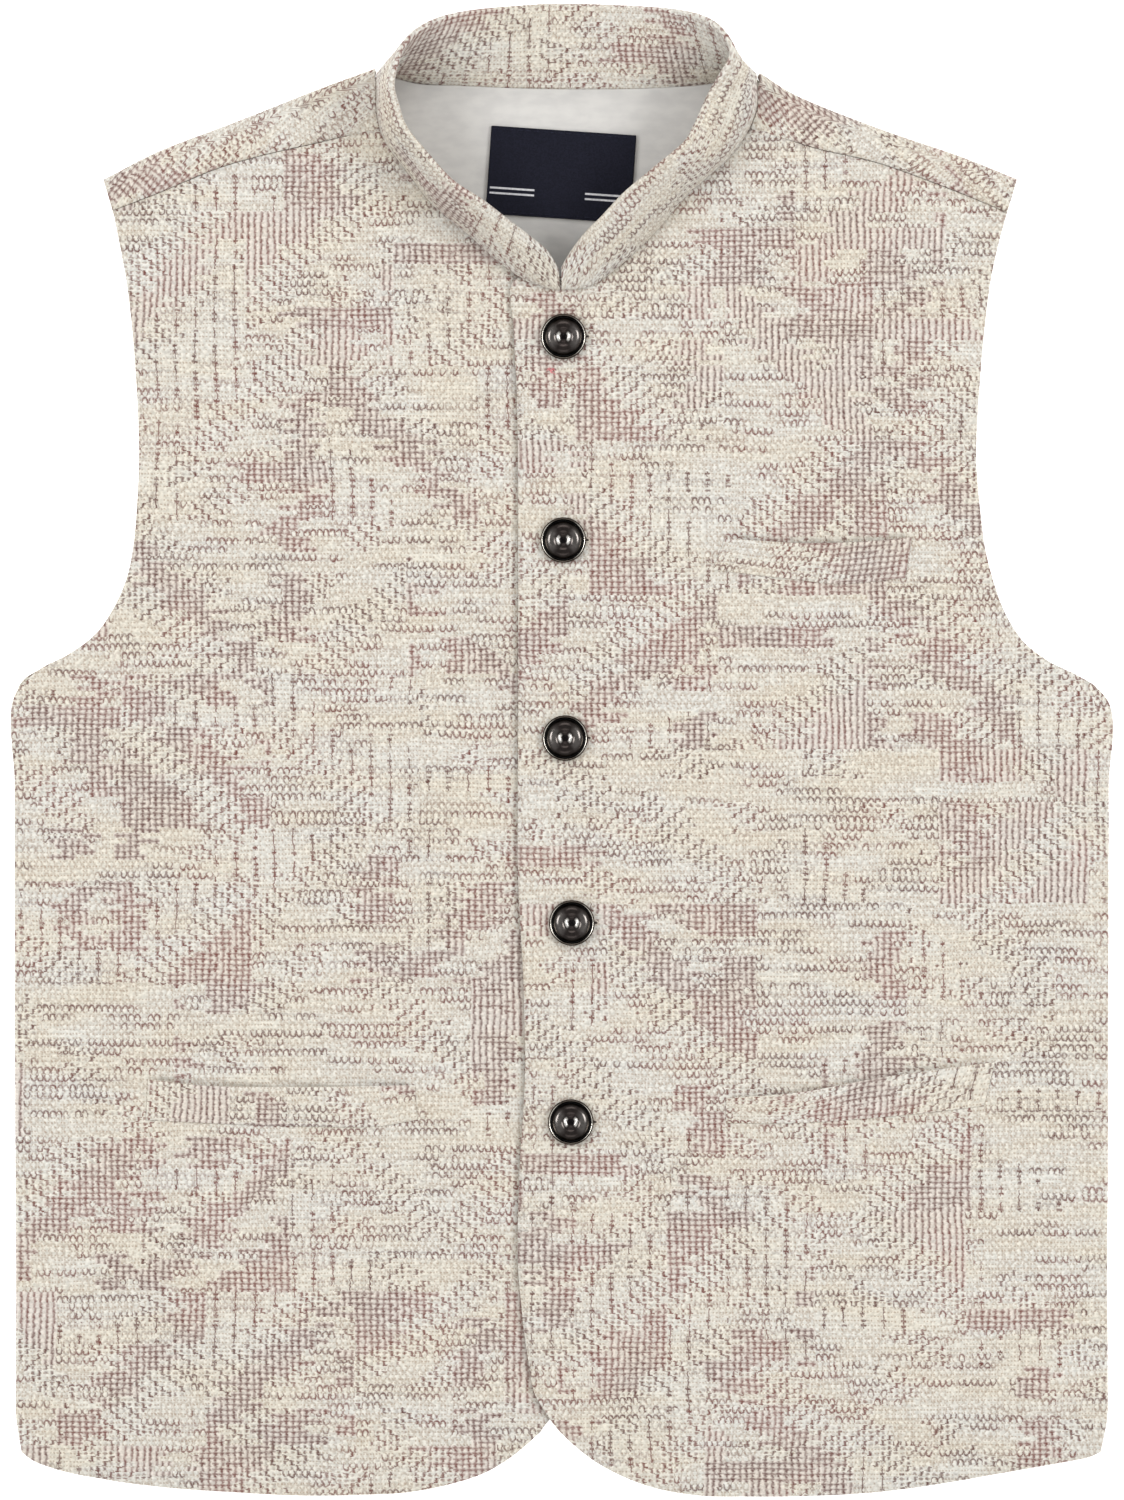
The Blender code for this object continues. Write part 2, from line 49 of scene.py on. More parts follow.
# Layers of the solids, from the surface up
CLOTH = 1.8
GAP = 0.3
BAND_WALL = 2.4
LINING_WALL = 1.0
LABEL_WALL = 1.0
WELT_GAP, WELT_CLOTH = 0.1, 0.4    # a welt is pressed flat, so its edges are thin
SEAM_GAP = 0.12
UNDER_FRONT = 5.3
OVER_FRONT = UNDER_FRONT + GAP + CLOTH
BODY = 6.4
SHOULDER_FOLD = 3.5
SHOULDER = 2 * SHOULDER_FOLD

# Heights of the fronts, as in the solids
LAP_EASE = (20.0, 80.0)
SHOULDER_RISE = (188.0, 232.0)
HEM_SINK_FROM, HEM_SINK_TO, HEM_SINK = -250.0, -286.0, 2.9
ROLL_END, ROLL_END_AT_HEM = CLOTH + GAP + 0.5, 1.3
ROLL_DROPS_FROM, ROLL_DROPS_TO = -259.0, -266.0
OPEN_EDGE_DROP, OPEN_EDGE_WIDTH = 0.9, 9.0
LAP_LEVEL = (17.0, 36.0)
HEM_DROP_EASE = (0.0, 30.0)
NECK_MARGIN = 3.0

# Soft relief that only the shells have
RIDGE_AT, RIDGE_WIDTH = 5.0, 3.0      # the allowance inside a turned edge stands up as a ridge
FREE_EDGE_RIDGE, HEM_RIDGE = 0.55, 0.35
ARMHOLE_RIDGE, ARMHOLE_RIDGE_AT = 0.4, 5.5
PUCKER, PUCKER_SIZE = 0.45, 13.0      # the share by which a ridge is uneven, and over what length
SEAM_DIP, SEAM_DIP_WIDTH = 0.45, 3.0
SLIT_DEPTH, SLIT_AT, SLIT_WIDTH, SLIT_ENDS = 0.7, 0.7, 0.9, 5.0
SHOULDER_SWELL, WELT_SWELL = 0.5, 0.3
UNEVEN = (
    # height, size and seed of the swells in a front
    (0.3, 85.0, 4),
    (0.12, 24.0, 9),
)

# How much darker cloth is where little light reaches it, 0 to 1, and how far from there
SLIT_SHADE = 0.35
SEAM_SHADE = 0.12
EDGE_SHADE, EDGE_SHADE_WIDTH = 0.12, 2.0
LAP_SHADE, LAP_SHADE_WIDTH = 0.3, 1.3
BASE_SHADE, BASE_OUTSIDE, BASE_INSIDE = 0.05, 0.09, 0.12    # at the collar's seam, in shares of its height
LINING_SHADE, LINING_DARKENS = 0.3, (178.0, 214.0)          # down the neck, between which y
LINING_TOP_SHADE, LINING_TOP_DARKENS = 0.12, (246.0, 256.0)

SIDE = (
    # y, left x, right x
    (-271, -208.5, 207.5),
    (-258, -210.6, 210),
    (-130, -211, 210.4),
    (0, -211.2, 210.5),
    (15, -211.2, 210),
)
ARMHOLE = (
    # y left, x left, y right, x right
    (22, -210.4, 19.5, 209.6),
    (27.5, -207, 25, 204.5),
    (34.3, -194.4, 30, 195),
    (41, -183.5, 37.5, 181.5),
    (50.5, -175.2, 49.7, 172),
    (65.1, -168.2, 65.1, 165.9),
    (80.5, -165.1, 80.5, 162.4),
    (111.4, -163.2, 111.4, 159.5),
    (142.2, -164.3, 142.2, 160.9),
    (173, -167, 173, 163.9),
    (190, -169.8, 190, 166.9),
    (207.5, -173.2, 206.8, 171.3),
)
SHOULDER_SEAM = {
    "left": (
        (-72.3, 239), (-93, 233.9), (-117.7, 228.2), (-135, 222.9), (-154.7, 214.6), (-173.2, 207.5),
    ),
    "right": ((76, 238.8), (96.9, 231.6), (120.8, 226), (146.6, 216.8), (171.3, 206.8)),
}
SHOULDER_EDGE = {
    "left": ((-72.3, 262.2), (-93.4, 254.5), (-124.3, 242.3), (-155.1, 230.5), (-177, 219.4)),
    "right": ((76, 260.6), (91.5, 251.2), (122.3, 239), (153.2, 228.4), (175.2, 219.6)),
}
NECK_SEAM = {
    "left": (
        (0, 176.4), (-7.1, 177.4), (-14.4, 180.1), (-24.9, 187.6), (-36.8, 198.2),
        (-48.5, 207.5), (-58.8, 220.5), (-68.4, 233.5), (-72, 239),
    ),
    "right": (
        (-7.1, 177.4), (0, 176.4), (10.6, 178.2), (21.4, 185), (33.3, 197),
        (46.4, 210.2), (60, 223), (68.5, 232), (75, 238.8),
    ),
}
CURVE_TOP = -202.0     # where the curves up from the hem end
# The left front laps over the right one: free edges from the hem's curve up, and hems outwards
OVER_EDGES = (
    ((-5.2, -257.8), (-10.6, -248.9), (-13.3, -235), (-15.2, -221.2), (-17, CURVE_TOP)),
    ((-17, CURVE_TOP), (-16.5, -158), (-14.4, -122.5), (-15.2, -87.1), (-17.1, -50), (-17.1, 24)),
    ((-17.1, 24), (-17.1, 92), (-17.5, 134.1), (-18.7, 156), (-18.7, 180.5)),
)
OVER_HEM = (
    (-5.2, -257.8), (-0.2, -263.9), (7.1, -270.5), (16.4, -277), (29.5, -282.8), (41.8, -286.3),
    (60, -288), (99.2, -287.8), (122.3, -286.3), (153.2, -282), (184, -276.3), (201, -273.4),
    (207.5, -271),
)
UNDER_EDGES = (
    ((-5.2, -258.6), (2, -249.5), (8.5, -237), (12.5, -222), (14.5, CURVE_TOP)),
    ((14.5, CURVE_TOP), (14.5, -90), (14.5, 24)),
    ((14.5, 24), (14.5, 100), (14.5, 182.5)),
)
UNDER_HEM = (
    (-5.2, -258.6), (-10.6, -265.1), (-16.4, -270.2), (-24.1, -275.9), (-31.8, -279.7), (-47.2, -284.4),
    (-62.6, -286.7), (-93.4, -287.8), (-116.6, -287), (-155.1, -284.4), (-186, -279.8), (-202, -275.2),
    (-208.5, -271),
)
NECK_PULL = {
    # x of the shoulder's neck end, how far it is drawn in low and high, and between which y
    "left": (-72.3, 2, 0.4, 239, 246),
    "right": (76, 3.2, 0.8, 238.8, 248),
}
NECK_PULL_FROM = 14.0
BACK_HEM = ((-210.6, -258), (-110, -255), (0, -254), (110, -255), (210, -258))
BACK_NECK = (
    (-72.3, 262.2), (-66, 258.2), (-55, 255.4), (-41, 254.8), (-20, 253.9), (0, 253.4),
    (25, 253.5), (44, 254.3), (55, 255.2), (66, 257.9), (76, 260.6),
)
COLLAR = (
    # seam x, seam y, seam z, rim x, rim y, band
    (-1.1, 176.7, 9.4, -1.3, 186.4, 10.8),
    (-4, 177, 9.4, -3.4, 190.2, 15),
    (-8, 178.2, 9.2, -5.9, 193.9, 18.8),
    (-14.4, 180.5, 8.8, -11, 198, 22.8),
    (-24.9, 187.9, 8.2, -20, 204.8, 25.4),
    (-36.8, 198.5, 7.1, -29.6, 212.1, 27.6),
    (-50.3, 209.9, 7.3, -40.6, 219, 29.2),
    (-58.8, 220.8, 7.6, -50.3, 229, 30),
    (-68.4, 234, 7.7, -58.9, 239.4, 31),
    (-71.5, 244.5, 7.4, -62.3, 248.6, 31.6),
    (-71.7, 253.8, 6, -64.2, 257.2, 32),
    (-71.6, 260.4, 4.2, -61.8, 270, 32.6),
    (-68.2, 261.2, 3.4, -58, 276.8, 33),
    (-63.4, 260.6, 2.6, -52.6, 281.2, 33.4),
    (-54.9, 258.6, 1.6, -45, 284.4, 33.8),
    (-41.4, 257.4, 0.6, -34, 286.4, 34),
    (-22, 255.9, 0, -19.6, 287.5, 34),
    (0, 255.2, 0, -0.8, 288.2, 34),
    (34, 255.4, 0, 29.9, 287.4, 34),
    (53, 257.6, 1.4, 45.4, 286.3, 33.8),
    (61.5, 259.4, 2.3, 55.3, 283.9, 33.6),
    (67.7, 260.9, 3, 61.5, 279.3, 33.2),
    (72, 261.4, 3.6, 64.6, 272.3, 32.8),
    (74.7, 260.4, 4.2, 63, 266, 32.5),
    (75, 255.8, 5.9, 58.7, 258.8, 32.2),
    (75, 248, 7.3, 55.1, 253, 32),
    (72.2, 239.5, 7.8, 52.2, 246.9, 31.8),
    (65.7, 229.2, 7.8, 49.5, 240.8, 31.4),
    (57.2, 221.4, 7.8, 45.6, 234.2, 31),
    (46.4, 211.4, 7.8, 32.9, 223.6, 30),
    (37.6, 201, 8, 22.6, 215, 29),
    (27.2, 190.4, 8.3, 13.7, 205.7, 26.9),
    (16, 181.4, 8.9, 9, 201, 25),
    (10.6, 178.3, 9.2, 4.8, 196, 21.2),
    (4.6, 177, 9.4, 2, 191.6, 16.4),
    (-0.3, 176.6, 9.4, -0.5, 186.9, 11.5),
)
BAND_LEAN, BAND_RISE = 0.8, 0.3    # how a steep band curves from upright to leaning
BAND_CLOTH = 0.85                  # each of the folded band's two layers
BAND_PINCH, BAND_PINCH_WIDTH = 0.5, 3.0
BAND_COLUMNS, BAND_ROWS, RIM_STEPS = 193, 19, 11

WELTS = {
    "chest_welt": {
        "front": "over",
        "top": ((62.6, 81.3), (90.4, 79.4), (115, 79.9), (134.7, 81.7)),
        "bottom": ((58, 69), (87.7, 65.5), (107.7, 63.6), (132, 65.9)),
    },
    "lower_welt_right": {
        "front": "under",
        "top": ((-159.7, -127.1), (-136.2, -129.8), (-98.8, -130.2), (-56.8, -129.5)),
        "bottom": ((-160.5, -142.9), (-118.5, -144.9), (-75.3, -145.6), (-56.1, -142.9)),
    },
    "lower_welt_left": {
        "front": "over",
        "top": ((63, -134.5), (91.9, -132.2), (123.9, -126.4), (166.6, -120.6)),
        "bottom": ((63, -144.1), (91.9, -144.1), (132.3, -141), (162.4, -137.5)),
    },
}
LINING_EDGES = {
    "top": BACK_NECK[1:-1],
    "bottom": ((-52, 160), (0, 158), (52, 160)),
}
LINING_TUCK, LINING_TUCK_WIDTH = 0.9, 4.0    # the lining's top edge is drawn up under the collar
LABEL_SIZE = (56, 34)
LABEL_AT = (-0.6, 221.4)
LABEL_TURN = math.radians(-3.9)
BUTTONS_AT = ((0.4, 158.9), (0.3, 80.5), (1, 4.2), (3.6, -67), (3.2, -143.7))
BUTTON_RADIUS = 8.8

# Rows and columns of a front before they are refined, as in the solids
EDGE_ROWS, NECK_ROWS = (5, 6, 8), 8
OPENS_OVER = 1.6       # rows over which the rolled side opens into the armhole
HEM_ROWS = 8
FRONT_WIDTH = 227.0
FRONT_LENGTH = 640.0
FROM_FREE_EDGE = (0, 4, 9, 15, 23, 34, 48, 66, 88, 112, 138, 164, 188)
FROM_SIDE = (12, 6.5, 4.2, 2.6, 1.4, 0.5, 0)
FINE = 2.2             # spacing of a shell's points
FOLD_STEPS, WRAP_STEPS = 19, 14       # round a shoulder's fold, and from there to its seam
WELT_STEPS, LINING_STEPS = (60, 14), (60, 48)
LABEL_POINTS = (57, 35)
EDGE_POINTS, SLIT_POINTS = 40, 60     # points at which the lap's edge and a welt's are read

# Where a piece is cut from the cloth's pattern
RIGHT_FRONT_CUT, COLLAR_CUT, WELT_CUT = (640, 90), (310, 177), (130, 60)

# Soft creases that the cloth keeps
CREASES = (
    # x, y, x, y of the ends, half width, height (below 0 is a trough)
    (-203, 14, -128, -30, 9, 1.1),
    (-206, -8, -142, -52, 8, -0.9),
    (-158, 72, -112, 24, 7, -0.7),
    (-104, 214, -64, 150, 8, 0.8),
    (-62, 176, -36, 116, 6, -0.6),
    (-206, -112, -152, -128, 8, 0.8),
    (-200, -206, -138, -236, 9, -0.7),
    (-124, -168, -70, -246, 10, 0.7),
    (-46, -24, -33, -112, 8, -0.5),
    (202, 10, 134, -22, 8, 1),
    (204, -16, 150, -62, 9, -0.8),
    (154, 84, 118, 30, 7, 0.6),
    (112, 208, 62, 158, 9, -0.7),
    (66, 186, 40, 128, 7, 0.7),
    (204, -92, 158, -116, 7, -0.7),
    (198, -214, 126, -232, 10, 0.8),
    (120, -166, 84, -238, 9, -0.6),
    (52, 52, 38, -46, 9, 0.5),
    (60, -176, 36, -248, 8, 0.6),
)
CREASE_BEND = 0.06                            # how far a crease bends aside, as a share of its length
CREASE_STARTS, CREASE_ENDS = (-0.1, 0.35), (0.6, 1.12)    # shares of its length where it rises and fades
CREASE_NARROW, CREASE_WIDENS = 0.75, 0.5      # its half width at its start, and what it gains
CREASE_MARGINS = (12, 10, 8)            # none at the side, the hem and the shoulder seam
UNCREASED_LAP = (16, 44)


# Shape tools, as in the part's source


def ease(start, end, value):
    """0 up to start, 1 from end on, and smooth between them."""
    share = np.clip((value - start) / (end - start), 0.0, 1.0)
    return share * share * (3.0 - 2.0 * share)


def bell(distance, middle, width):
    """1 at the middle, and falling off smoothly on both sides."""
    return np.exp(-((distance - middle) / width) ** 2)


def nearness(distance, reach):
    """1 at no distance, and falling to 0 at a reach."""
    return np.clip(1 - distance / reach, 0, 1) ** 2


def smooth_curve(points, fine=24):
    """A Catmull-Rom curve through points, as many close points."""
    points = np.array(points, float)
    ahead = 2 * points[0] - points[1]
    behind = 2 * points[-1] - points[-2]
    held = np.vstack([ahead, points, behind])
    t = np.linspace(0.0, 1.0, fine, endpoint=False)[:, None]
    runs = []
    for a, b, c, d in zip(held, held[1:], held[2:], held[3:]):
        runs.append(0.5 * (
            2 * b + (c - a) * t + (2 * a - 5 * b + 4 * c - d) * t**2 + (3 * b - a - 3 * c + d) * t**3
        ))
    return np.vstack(runs + [points[-1:]])


def lengths(points):
    return np.concatenate([[0.0], np.cumsum(np.linalg.norm(np.diff(points, axis=0), axis=1))])


def at_shares(points, shares):
    """The points of a curve at shares of its length."""
    curve = smooth_curve(points)
    along = lengths(curve)
    at = np.array(shares) * along[-1]
    return np.stack([np.interp(at, along, values) for values in curve.T], 1)


def evenly(points, count):
    return at_shares(points, np.linspace(0.0, 1.0, count))


def joined(runs, counts):
    """Curves that meet at corners, as one row of points with so many steps in each."""
    parts = [evenly(run, count + 1) for run, count in zip(runs, counts)]
    return np.vstack([parts[0]] + [part[1:] for part in parts[1:]])


def moved_aside(points, distance):
    """A plan curve moved to its left by a distance."""
    ahead = np.gradient(points, axis=0)
    ahead /= np.linalg.norm(ahead, axis=1)[:, None]
    return points + distance * np.stack([-ahead[:, 1], ahead[:, 0]], 1)


def patch(bottom, top, start, end, across, up):
    """A plan grid between four edges; across and up are the shares of its columns and rows."""
    u = across[None, :, None]
    v = up[:, None, None]
    ruled = (1 - v) * bottom[None] + v * top[None] + (1 - u) * start[:, None] + u * end[:, None]
    corners = (
        (1 - u) * (1 - v) * bottom[0] + u * (1 - v) * bottom[-1] + (1 - u) * v * top[0] + u * v * top[-1]
    )
    return ruled - corners


def relaxed(plan, across, up, rounds=60):
    """A plan grid with its inner points drawn between their neighbours, at the same spacing."""
    before, after = np.diff(across)[:-1, None], np.diff(across)[1:, None]
    below, above = np.diff(up)[:-1, None, None], np.diff(up)[1:, None, None]
    plan = plan.copy()
    for _ in range(rounds):
        side = (plan[1:-1, :-2] * after + plan[1:-1, 2:] * before) / (before + after)
        rise = (plan[:-2, 1:-1] * above + plan[2:, 1:-1] * below) / (below + above)
        plan[1:-1, 1:-1] = (side + rise) / 2
    return plan


def finer_shares(shares, length, step):
    """Shares with more put between them, so that none are further apart than a step."""
    runs = []
    for low, high in zip(shares, shares[1:]):
        count = max(1, math.ceil((high - low) * length / step))
        runs.append(np.linspace(low, high, count, endpoint=False))
    return np.concatenate(runs + [shares[-1:]])


def refined(grid, shares, finer):
    """Rows read at finer shares, on a smooth curve through the rows of a grid."""
    slope = np.gradient(grid, shares, axis=0)
    row = np.clip(np.searchsorted(shares, finer, side="right") - 1, 0, len(shares) - 2)
    span = (shares[row + 1] - shares[row])[:, None, None]
    t = (finer - shares[row])[:, None, None] / span
    leaves = (2 * t**3 - 3 * t**2 + 1) * grid[row] + (t**3 - 2 * t**2 + t) * span * slope[row]
    arrives = (3 * t**2 - 2 * t**3) * grid[row + 1] + (t**3 - t**2) * span * slope[row + 1]
    return leaves + arrives


def wander(x, y, size, seed):
    """A smooth, uneven height between about -1 and 1, whose swells are so far apart."""
    draw = np.random.default_rng(seed)
    total = np.zeros(np.shape(x))
    for _ in range(7):
        turn, shift = draw.uniform(0, 2 * math.pi, 2)
        wave = 2 * math.pi / (size * draw.uniform(0.7, 1.6))
        total += np.sin(wave * (x * math.cos(turn) + y * math.sin(turn)) + shift)
    return total / 3.5


# Materials


def linear(red, green, blue):
    """A colour given as sRGB from 0 to 255, as the shader takes it."""
    shares = [c / 255 for c in (red, green, blue)]
    return (*[((c + 0.055) / 1.055) ** 2.4 if c > 0.04045 else c / 12.92 for c in shares], 1.0)


def feed(tree, socket, term):
    """Links a value to a node's socket, or sets the socket to a number or colour."""
    if isinstance(term, Value):
        tree.links.new(term.socket, socket)
    else:
        socket.default_value = term


class Value:
    """A number or vector in a material's nodes, which Python's operators add maths nodes to."""

    def __init__(self, tree, socket):
        self.tree = tree
        self.socket = socket

    def math(self, operation, *others):
        node = self.tree.nodes.new("ShaderNodeMath")
        node.operation = operation
        for socket, term in zip(node.inputs, (self, *others)):
            feed(self.tree, socket, term)
        return Value(self.tree, node.outputs[0])

    __add__ = partialmethod(math, "ADD")
    __sub__ = partialmethod(math, "SUBTRACT")
    __mul__ = partialmethod(math, "MULTIPLY")
    __truediv__ = partialmethod(math, "DIVIDE")
    whole = partialmethod(math, "FLOOR")
    size = partialmethod(math, "ABSOLUTE")
    larger = partialmethod(math, "MAXIMUM")
    above = partialmethod(math, "GREATER_THAN")
    below = partialmethod(math, "LESS_THAN")

    def inverse(self):
        """1 less the value."""
        node = self.tree.nodes.new("ShaderNodeMath")
        node.operation = "SUBTRACT"
        node.inputs[0].default_value = 1.0
        feed(self.tree, node.inputs[1], self)
        return Value(self.tree, node.outputs[0])

    def part(self):
        """The fraction past the whole number, taken from its middle: -0.5 to 0.5."""
        return self.math("FRACT") - 0.5

    def between(self, low, high):
        return self.above(low) * self.below(high)

    def rise(self, low, high, start=0.0, end=1.0):
        """start below low, end above high, and smooth between them."""
        node = self.tree.nodes.new("ShaderNodeMapRange")
        node.interpolation_type = "SMOOTHSTEP"
        terms = {"Value": self, "From Min": low, "From Max": high, "To Min": start, "To Max": end}
        for name, term in terms.items():
            feed(self.tree, node.inputs[name], term)
        return Value(self.tree, node.outputs["Result"])

    def line(self, half_width, blur):
        """1 where the value is near 0, falling to 0 at a half width."""
        return self.size().rise(half_width - blur, half_width + blur, 1.0, 0.0)


class Finish:
    """A material under construction: its nodes, and the cloth's own coordinates in millimetres."""

    def __init__(self, name, roughness, specular=0.3, sheen=0.0, metallic=0.0):
        self.material = bpy.data.materials.new(name)
        self.material.use_nodes = True
        self.tree = self.material.node_tree
        self.shader = self.tree.nodes["Principled BSDF"]
        values = {"Roughness": roughness, "Specular IOR Level": specular, "Sheen Weight": sheen,
                  "Sheen Roughness": 0.5, "Metallic": metallic}
        for socket, value in values.items():
            self.shader.inputs[socket].default_value = value

    def new(self, kind):
        return self.tree.nodes.new(kind)

    def value(self, socket):
        return Value(self.tree, socket)

    def cloth_coordinates(self):
        """Across and along the cloth, in millimetres."""
        chart = self.new("ShaderNodeUVMap")
        chart.uv_map = "cloth"
        apart = self.new("ShaderNodeSeparateXYZ")
        self.tree.links.new(chart.outputs["UV"], apart.inputs[0])
        return self.value(apart.outputs["X"]) * 1000.0, self.value(apart.outputs["Y"]) * 1000.0

    def vector(self, x, y, z=0.0):
        node = self.new("ShaderNodeCombineXYZ")
        for socket, term in zip(node.inputs, (x, y, z)):
            feed(self.tree, socket, term)
        return self.value(node.outputs[0])

    def attribute(self, name):
        node = self.new("ShaderNodeAttribute")
        node.attribute_name = name
        return self.value(node.outputs["Fac"])

    def noise(self, place, scale, detail=2.0):
        node = self.new("ShaderNodeTexNoise")
        node.inputs["Scale"].default_value = scale
        node.inputs["Detail"].default_value = detail
        feed(self.tree, node.inputs["Vector"], place)
        return self.value(node.outputs["Fac"])

    def chance(self, x, y, seed):
        """A random number from 0 to 1 for each pair of whole numbers."""
        node = self.new("ShaderNodeTexWhiteNoise")
        node.noise_dimensions = "3D"
        feed(self.tree, node.inputs["Vector"], self.vector(x, y, seed))
        return self.value(node.outputs["Value"])

    def mix(self, share, first, second):
        node = self.new("ShaderNodeMix")
        node.data_type = "RGBA"
        for socket, term in ((node.inputs[0], share), (node.inputs[6], first), (node.inputs[7], second)):
            feed(self.tree, socket, term)
        return self.value(node.outputs[2])

    def shade(self, colour, share):
        """A colour times a number."""
        node = self.new("ShaderNodeVectorMath")
        node.operation = "SCALE"
        feed(self.tree, node.inputs[0], colour)
        feed(self.tree, node.inputs["Scale"], share)
        return self.value(node.outputs[0])

    def colour(self, colour):
        feed(self.tree, self.shader.inputs["Base Color"], colour)

    def roughness(self, value):
        feed(self.tree, self.shader.inputs["Roughness"], value)

    def relief(self, height, depth, strength=1.0):
        """Bumps of a height from 0 to 1, so many millimetres deep."""
        bump = self.new("ShaderNodeBump")
        bump.inputs["Distance"].default_value = depth * MM
        bump.inputs["Strength"].default_value = strength
        feed(self.tree, bump.inputs["Height"], height)
        self.tree.links.new(bump.outputs["Normal"], self.shader.inputs["Normal"])


THREAD = 2.5           # dark threads of the weave, one from the next, across the cloth
PICK = 2.05            # and along it
ARCH_ROW = 3.4         # rows of small arches
TILE_THREADS, TILE_PICKS = 23.0, 29.0    # a tile of the pattern, turned over at random
GRID_SHARE, LONE_SHARE, BARE_SHARE = 0.36, 0.12, 0.15    # of the parts of a tile that take such threads
RIB = 1.02             # ribs of the ground, one from the next

CREAM = linear(208, 202, 188)
COOL_CREAM = linear(206, 204, 197)
BLUSH = linear(203, 191, 182)     # the ground among a grid of threads
TAN = linear(146, 124, 104)
MAROON = linear(98, 40, 33)
CHARCOAL = linear(80, 40, 36)
SHADE_BROWN = linear(66, 48, 36)       # the warm dark brown that painted shade darkens cloth to, at slits, seams, edges and beside the lap


def jacquard_cloth():
    """A nubbly cream jacquard whose patches of maroon threads step along the weave."""
    cloth = Finish("jacquard_cloth", roughness=0.92, specular=0.15, sheen=0.1)
    plain_x, plain_y = cloth.cloth_coordinates()
    swing = cloth.noise(cloth.vector(plain_x, plain_y), 0.03, 1.0) - 0.5
    nubs = cloth.noise(cloth.vector(plain_x * 0.8, plain_y), 0.8, 1.0)
    x = plain_x + swing * 3.0 + (nubs - 0.5) * 1.3
    y = plain_y - swing * 2.6 - (nubs - 0.5) * 1.1
    column, pick = x / THREAD, y / PICK
    i, j = column.whole(), pick.whole()
    luck_here = cloth.chance(i, j, 1.0)
    kink = luck_here * 0.2 - 0.1
    across, along = column.part() + kink, pick.part() - kink
    heavy = luck_here.rise(0.0, 1.0, 0.85, 1.0) * nubs.rise(0.35, 0.65, 1.0, 0.84)

    # Place in the tile: its rows are shifted, some tiles are mirrored, and a row reaches unevenly far
    tile_y = (j / TILE_PICKS).whole()
    shifted = i + (cloth.chance(tile_y, 0.0, 2.0) * TILE_THREADS).whole()
    tile_x = (shifted / TILE_THREADS).whole()
    mirror, upturn = (cloth.chance(tile_x, tile_y, seed).above(0.5) for seed in (3.0, 4.0))
    reach = (cloth.chance(j, tile_x, 5.0) - 0.5) * 0.22
    u = ((shifted / TILE_THREADS).math("FRACT") - mirror).size() + reach
    v = ((j / TILE_PICKS).math("FRACT") - upturn).size()

    # Parts of a tile: a corner, slanting bands and what is past them, crossed by a post and a beam
    lean = u + v * 1.12
    part = lean.above(0.56) + lean.above(0.86) + lean.above(1.16) + lean.above(1.4)
    post = (u - 0.82).size().below(0.1) * v.above(0.2)
    beam = (v - 0.72).size().below(0.07) * u.above(0.3)
    part = part.larger(post * 5.0).larger(beam * 6.0)
    luck = cloth.chance(tile_x, tile_y, part + 6.0)
    crossed = cloth.chance(tile_x, tile_y, part + 20.0).above(0.25)
    band = (part - 1.0).size().below(0.5).larger((part - 3.0).size().below(0.5))
    is_grid = luck.below(GRID_SHARE) * band.inverse()
    is_slant = band * luck.above(BARE_SHARE)
    is_lone = luck.between(GRID_SHARE, GRID_SHARE + LONE_SHARE) * band.inverse()
    is_plain = (is_grid + is_slant + is_lone).below(0.5)

    # A grid of dark threads, heavier where they cross
    upright = across.line(0.19, 0.16)
    level = along.line(0.2, 0.17)
    crossing = across.size().rise(0.1, 0.5, 1.0, 0.55) * luck_here.above(0.15) * crossed
    grid = (upright * along.rise(-0.5, 0.5, 1.0, 0.7)).larger(level * crossing) * is_grid

    # Lone threads, three apart, with short crossbars
    third = (column / 3.0).part() * 3.0 + kink
    crossbar = level * third.line(0.38, 0.1) * cloth.chance((column / 3.0).whole(), j, 8.0).above(0.45)
    lone = (third.line(0.1, 0.08) * luck_here.above(0.12)).larger(crossbar) * is_lone

    # Stepped slanting ropes: short upright strokes joined at their heads, leaning as the tile is turned
    turned = (mirror - upturn).size() * 2.0 - 1.0
    step = ((i * turned + j) / 3.0 + 0.01).math("FRACT")
    landing = (along.size() - 0.44).line(0.13, 0.13) * (across * along * turned).rise(-0.01, 0.03, 1.0, 0.0)
    speck = across.line(0.2, 0.14) * along.line(0.3, 0.16) * luck_here.rise(0.2, 0.7, 0.35, 0.85)
    slant = (upright.larger(landing) * step.below(0.34)).larger(speck * step.above(0.34)) * is_slant

    # Rows of small joined arches, dark in streaks and tan between them
    arch_pick = y / ARCH_ROW + 0.37
    row = arch_pick.whole()
    streak = cloth.noise(cloth.vector(x * 0.03, row * 7.7), 1.0, 0.0)
    over = cloth.chance(row, tile_x, 9.0).above(0.5) * 2.0 - 1.0
    wide, high = across * 2.0, arch_pick.part() * over * (ARCH_ROW / 1.7) + 0.3
    bow = high.larger(0.0)
    arch = ((wide * wide + bow * bow).math("SQRT") - 0.86).line(0.24, 0.22) * high.rise(-0.7, -0.4)
    dark_streak = streak.rise(0.46, 0.54)
    worn_away = cloth.chance(i, row, 12.0).rise(0.04, 0.35, 0.3, 1.0)
    arches = arch * heavy * worn_away * streak.above(0.24) * (is_plain + is_lone * 0.5)
    arches = arches * dark_streak.rise(0.0, 1.0, 0.5, 0.92)

    # Faint tan dots in rows
    dot_column, dot_pick = column * 2.0, y / (ARCH_ROW / 2) + 0.24
    dots = (dot_column.part() * (THREAD / 2)).line(0.34, 0.2)
    dots = dots * (dot_pick.part() * (ARCH_ROW / 2)).line(0.3, 0.2)
    dots = dots * cloth.chance(dot_column.whole(), dot_pick.whole(), 11.0).above(0.2)

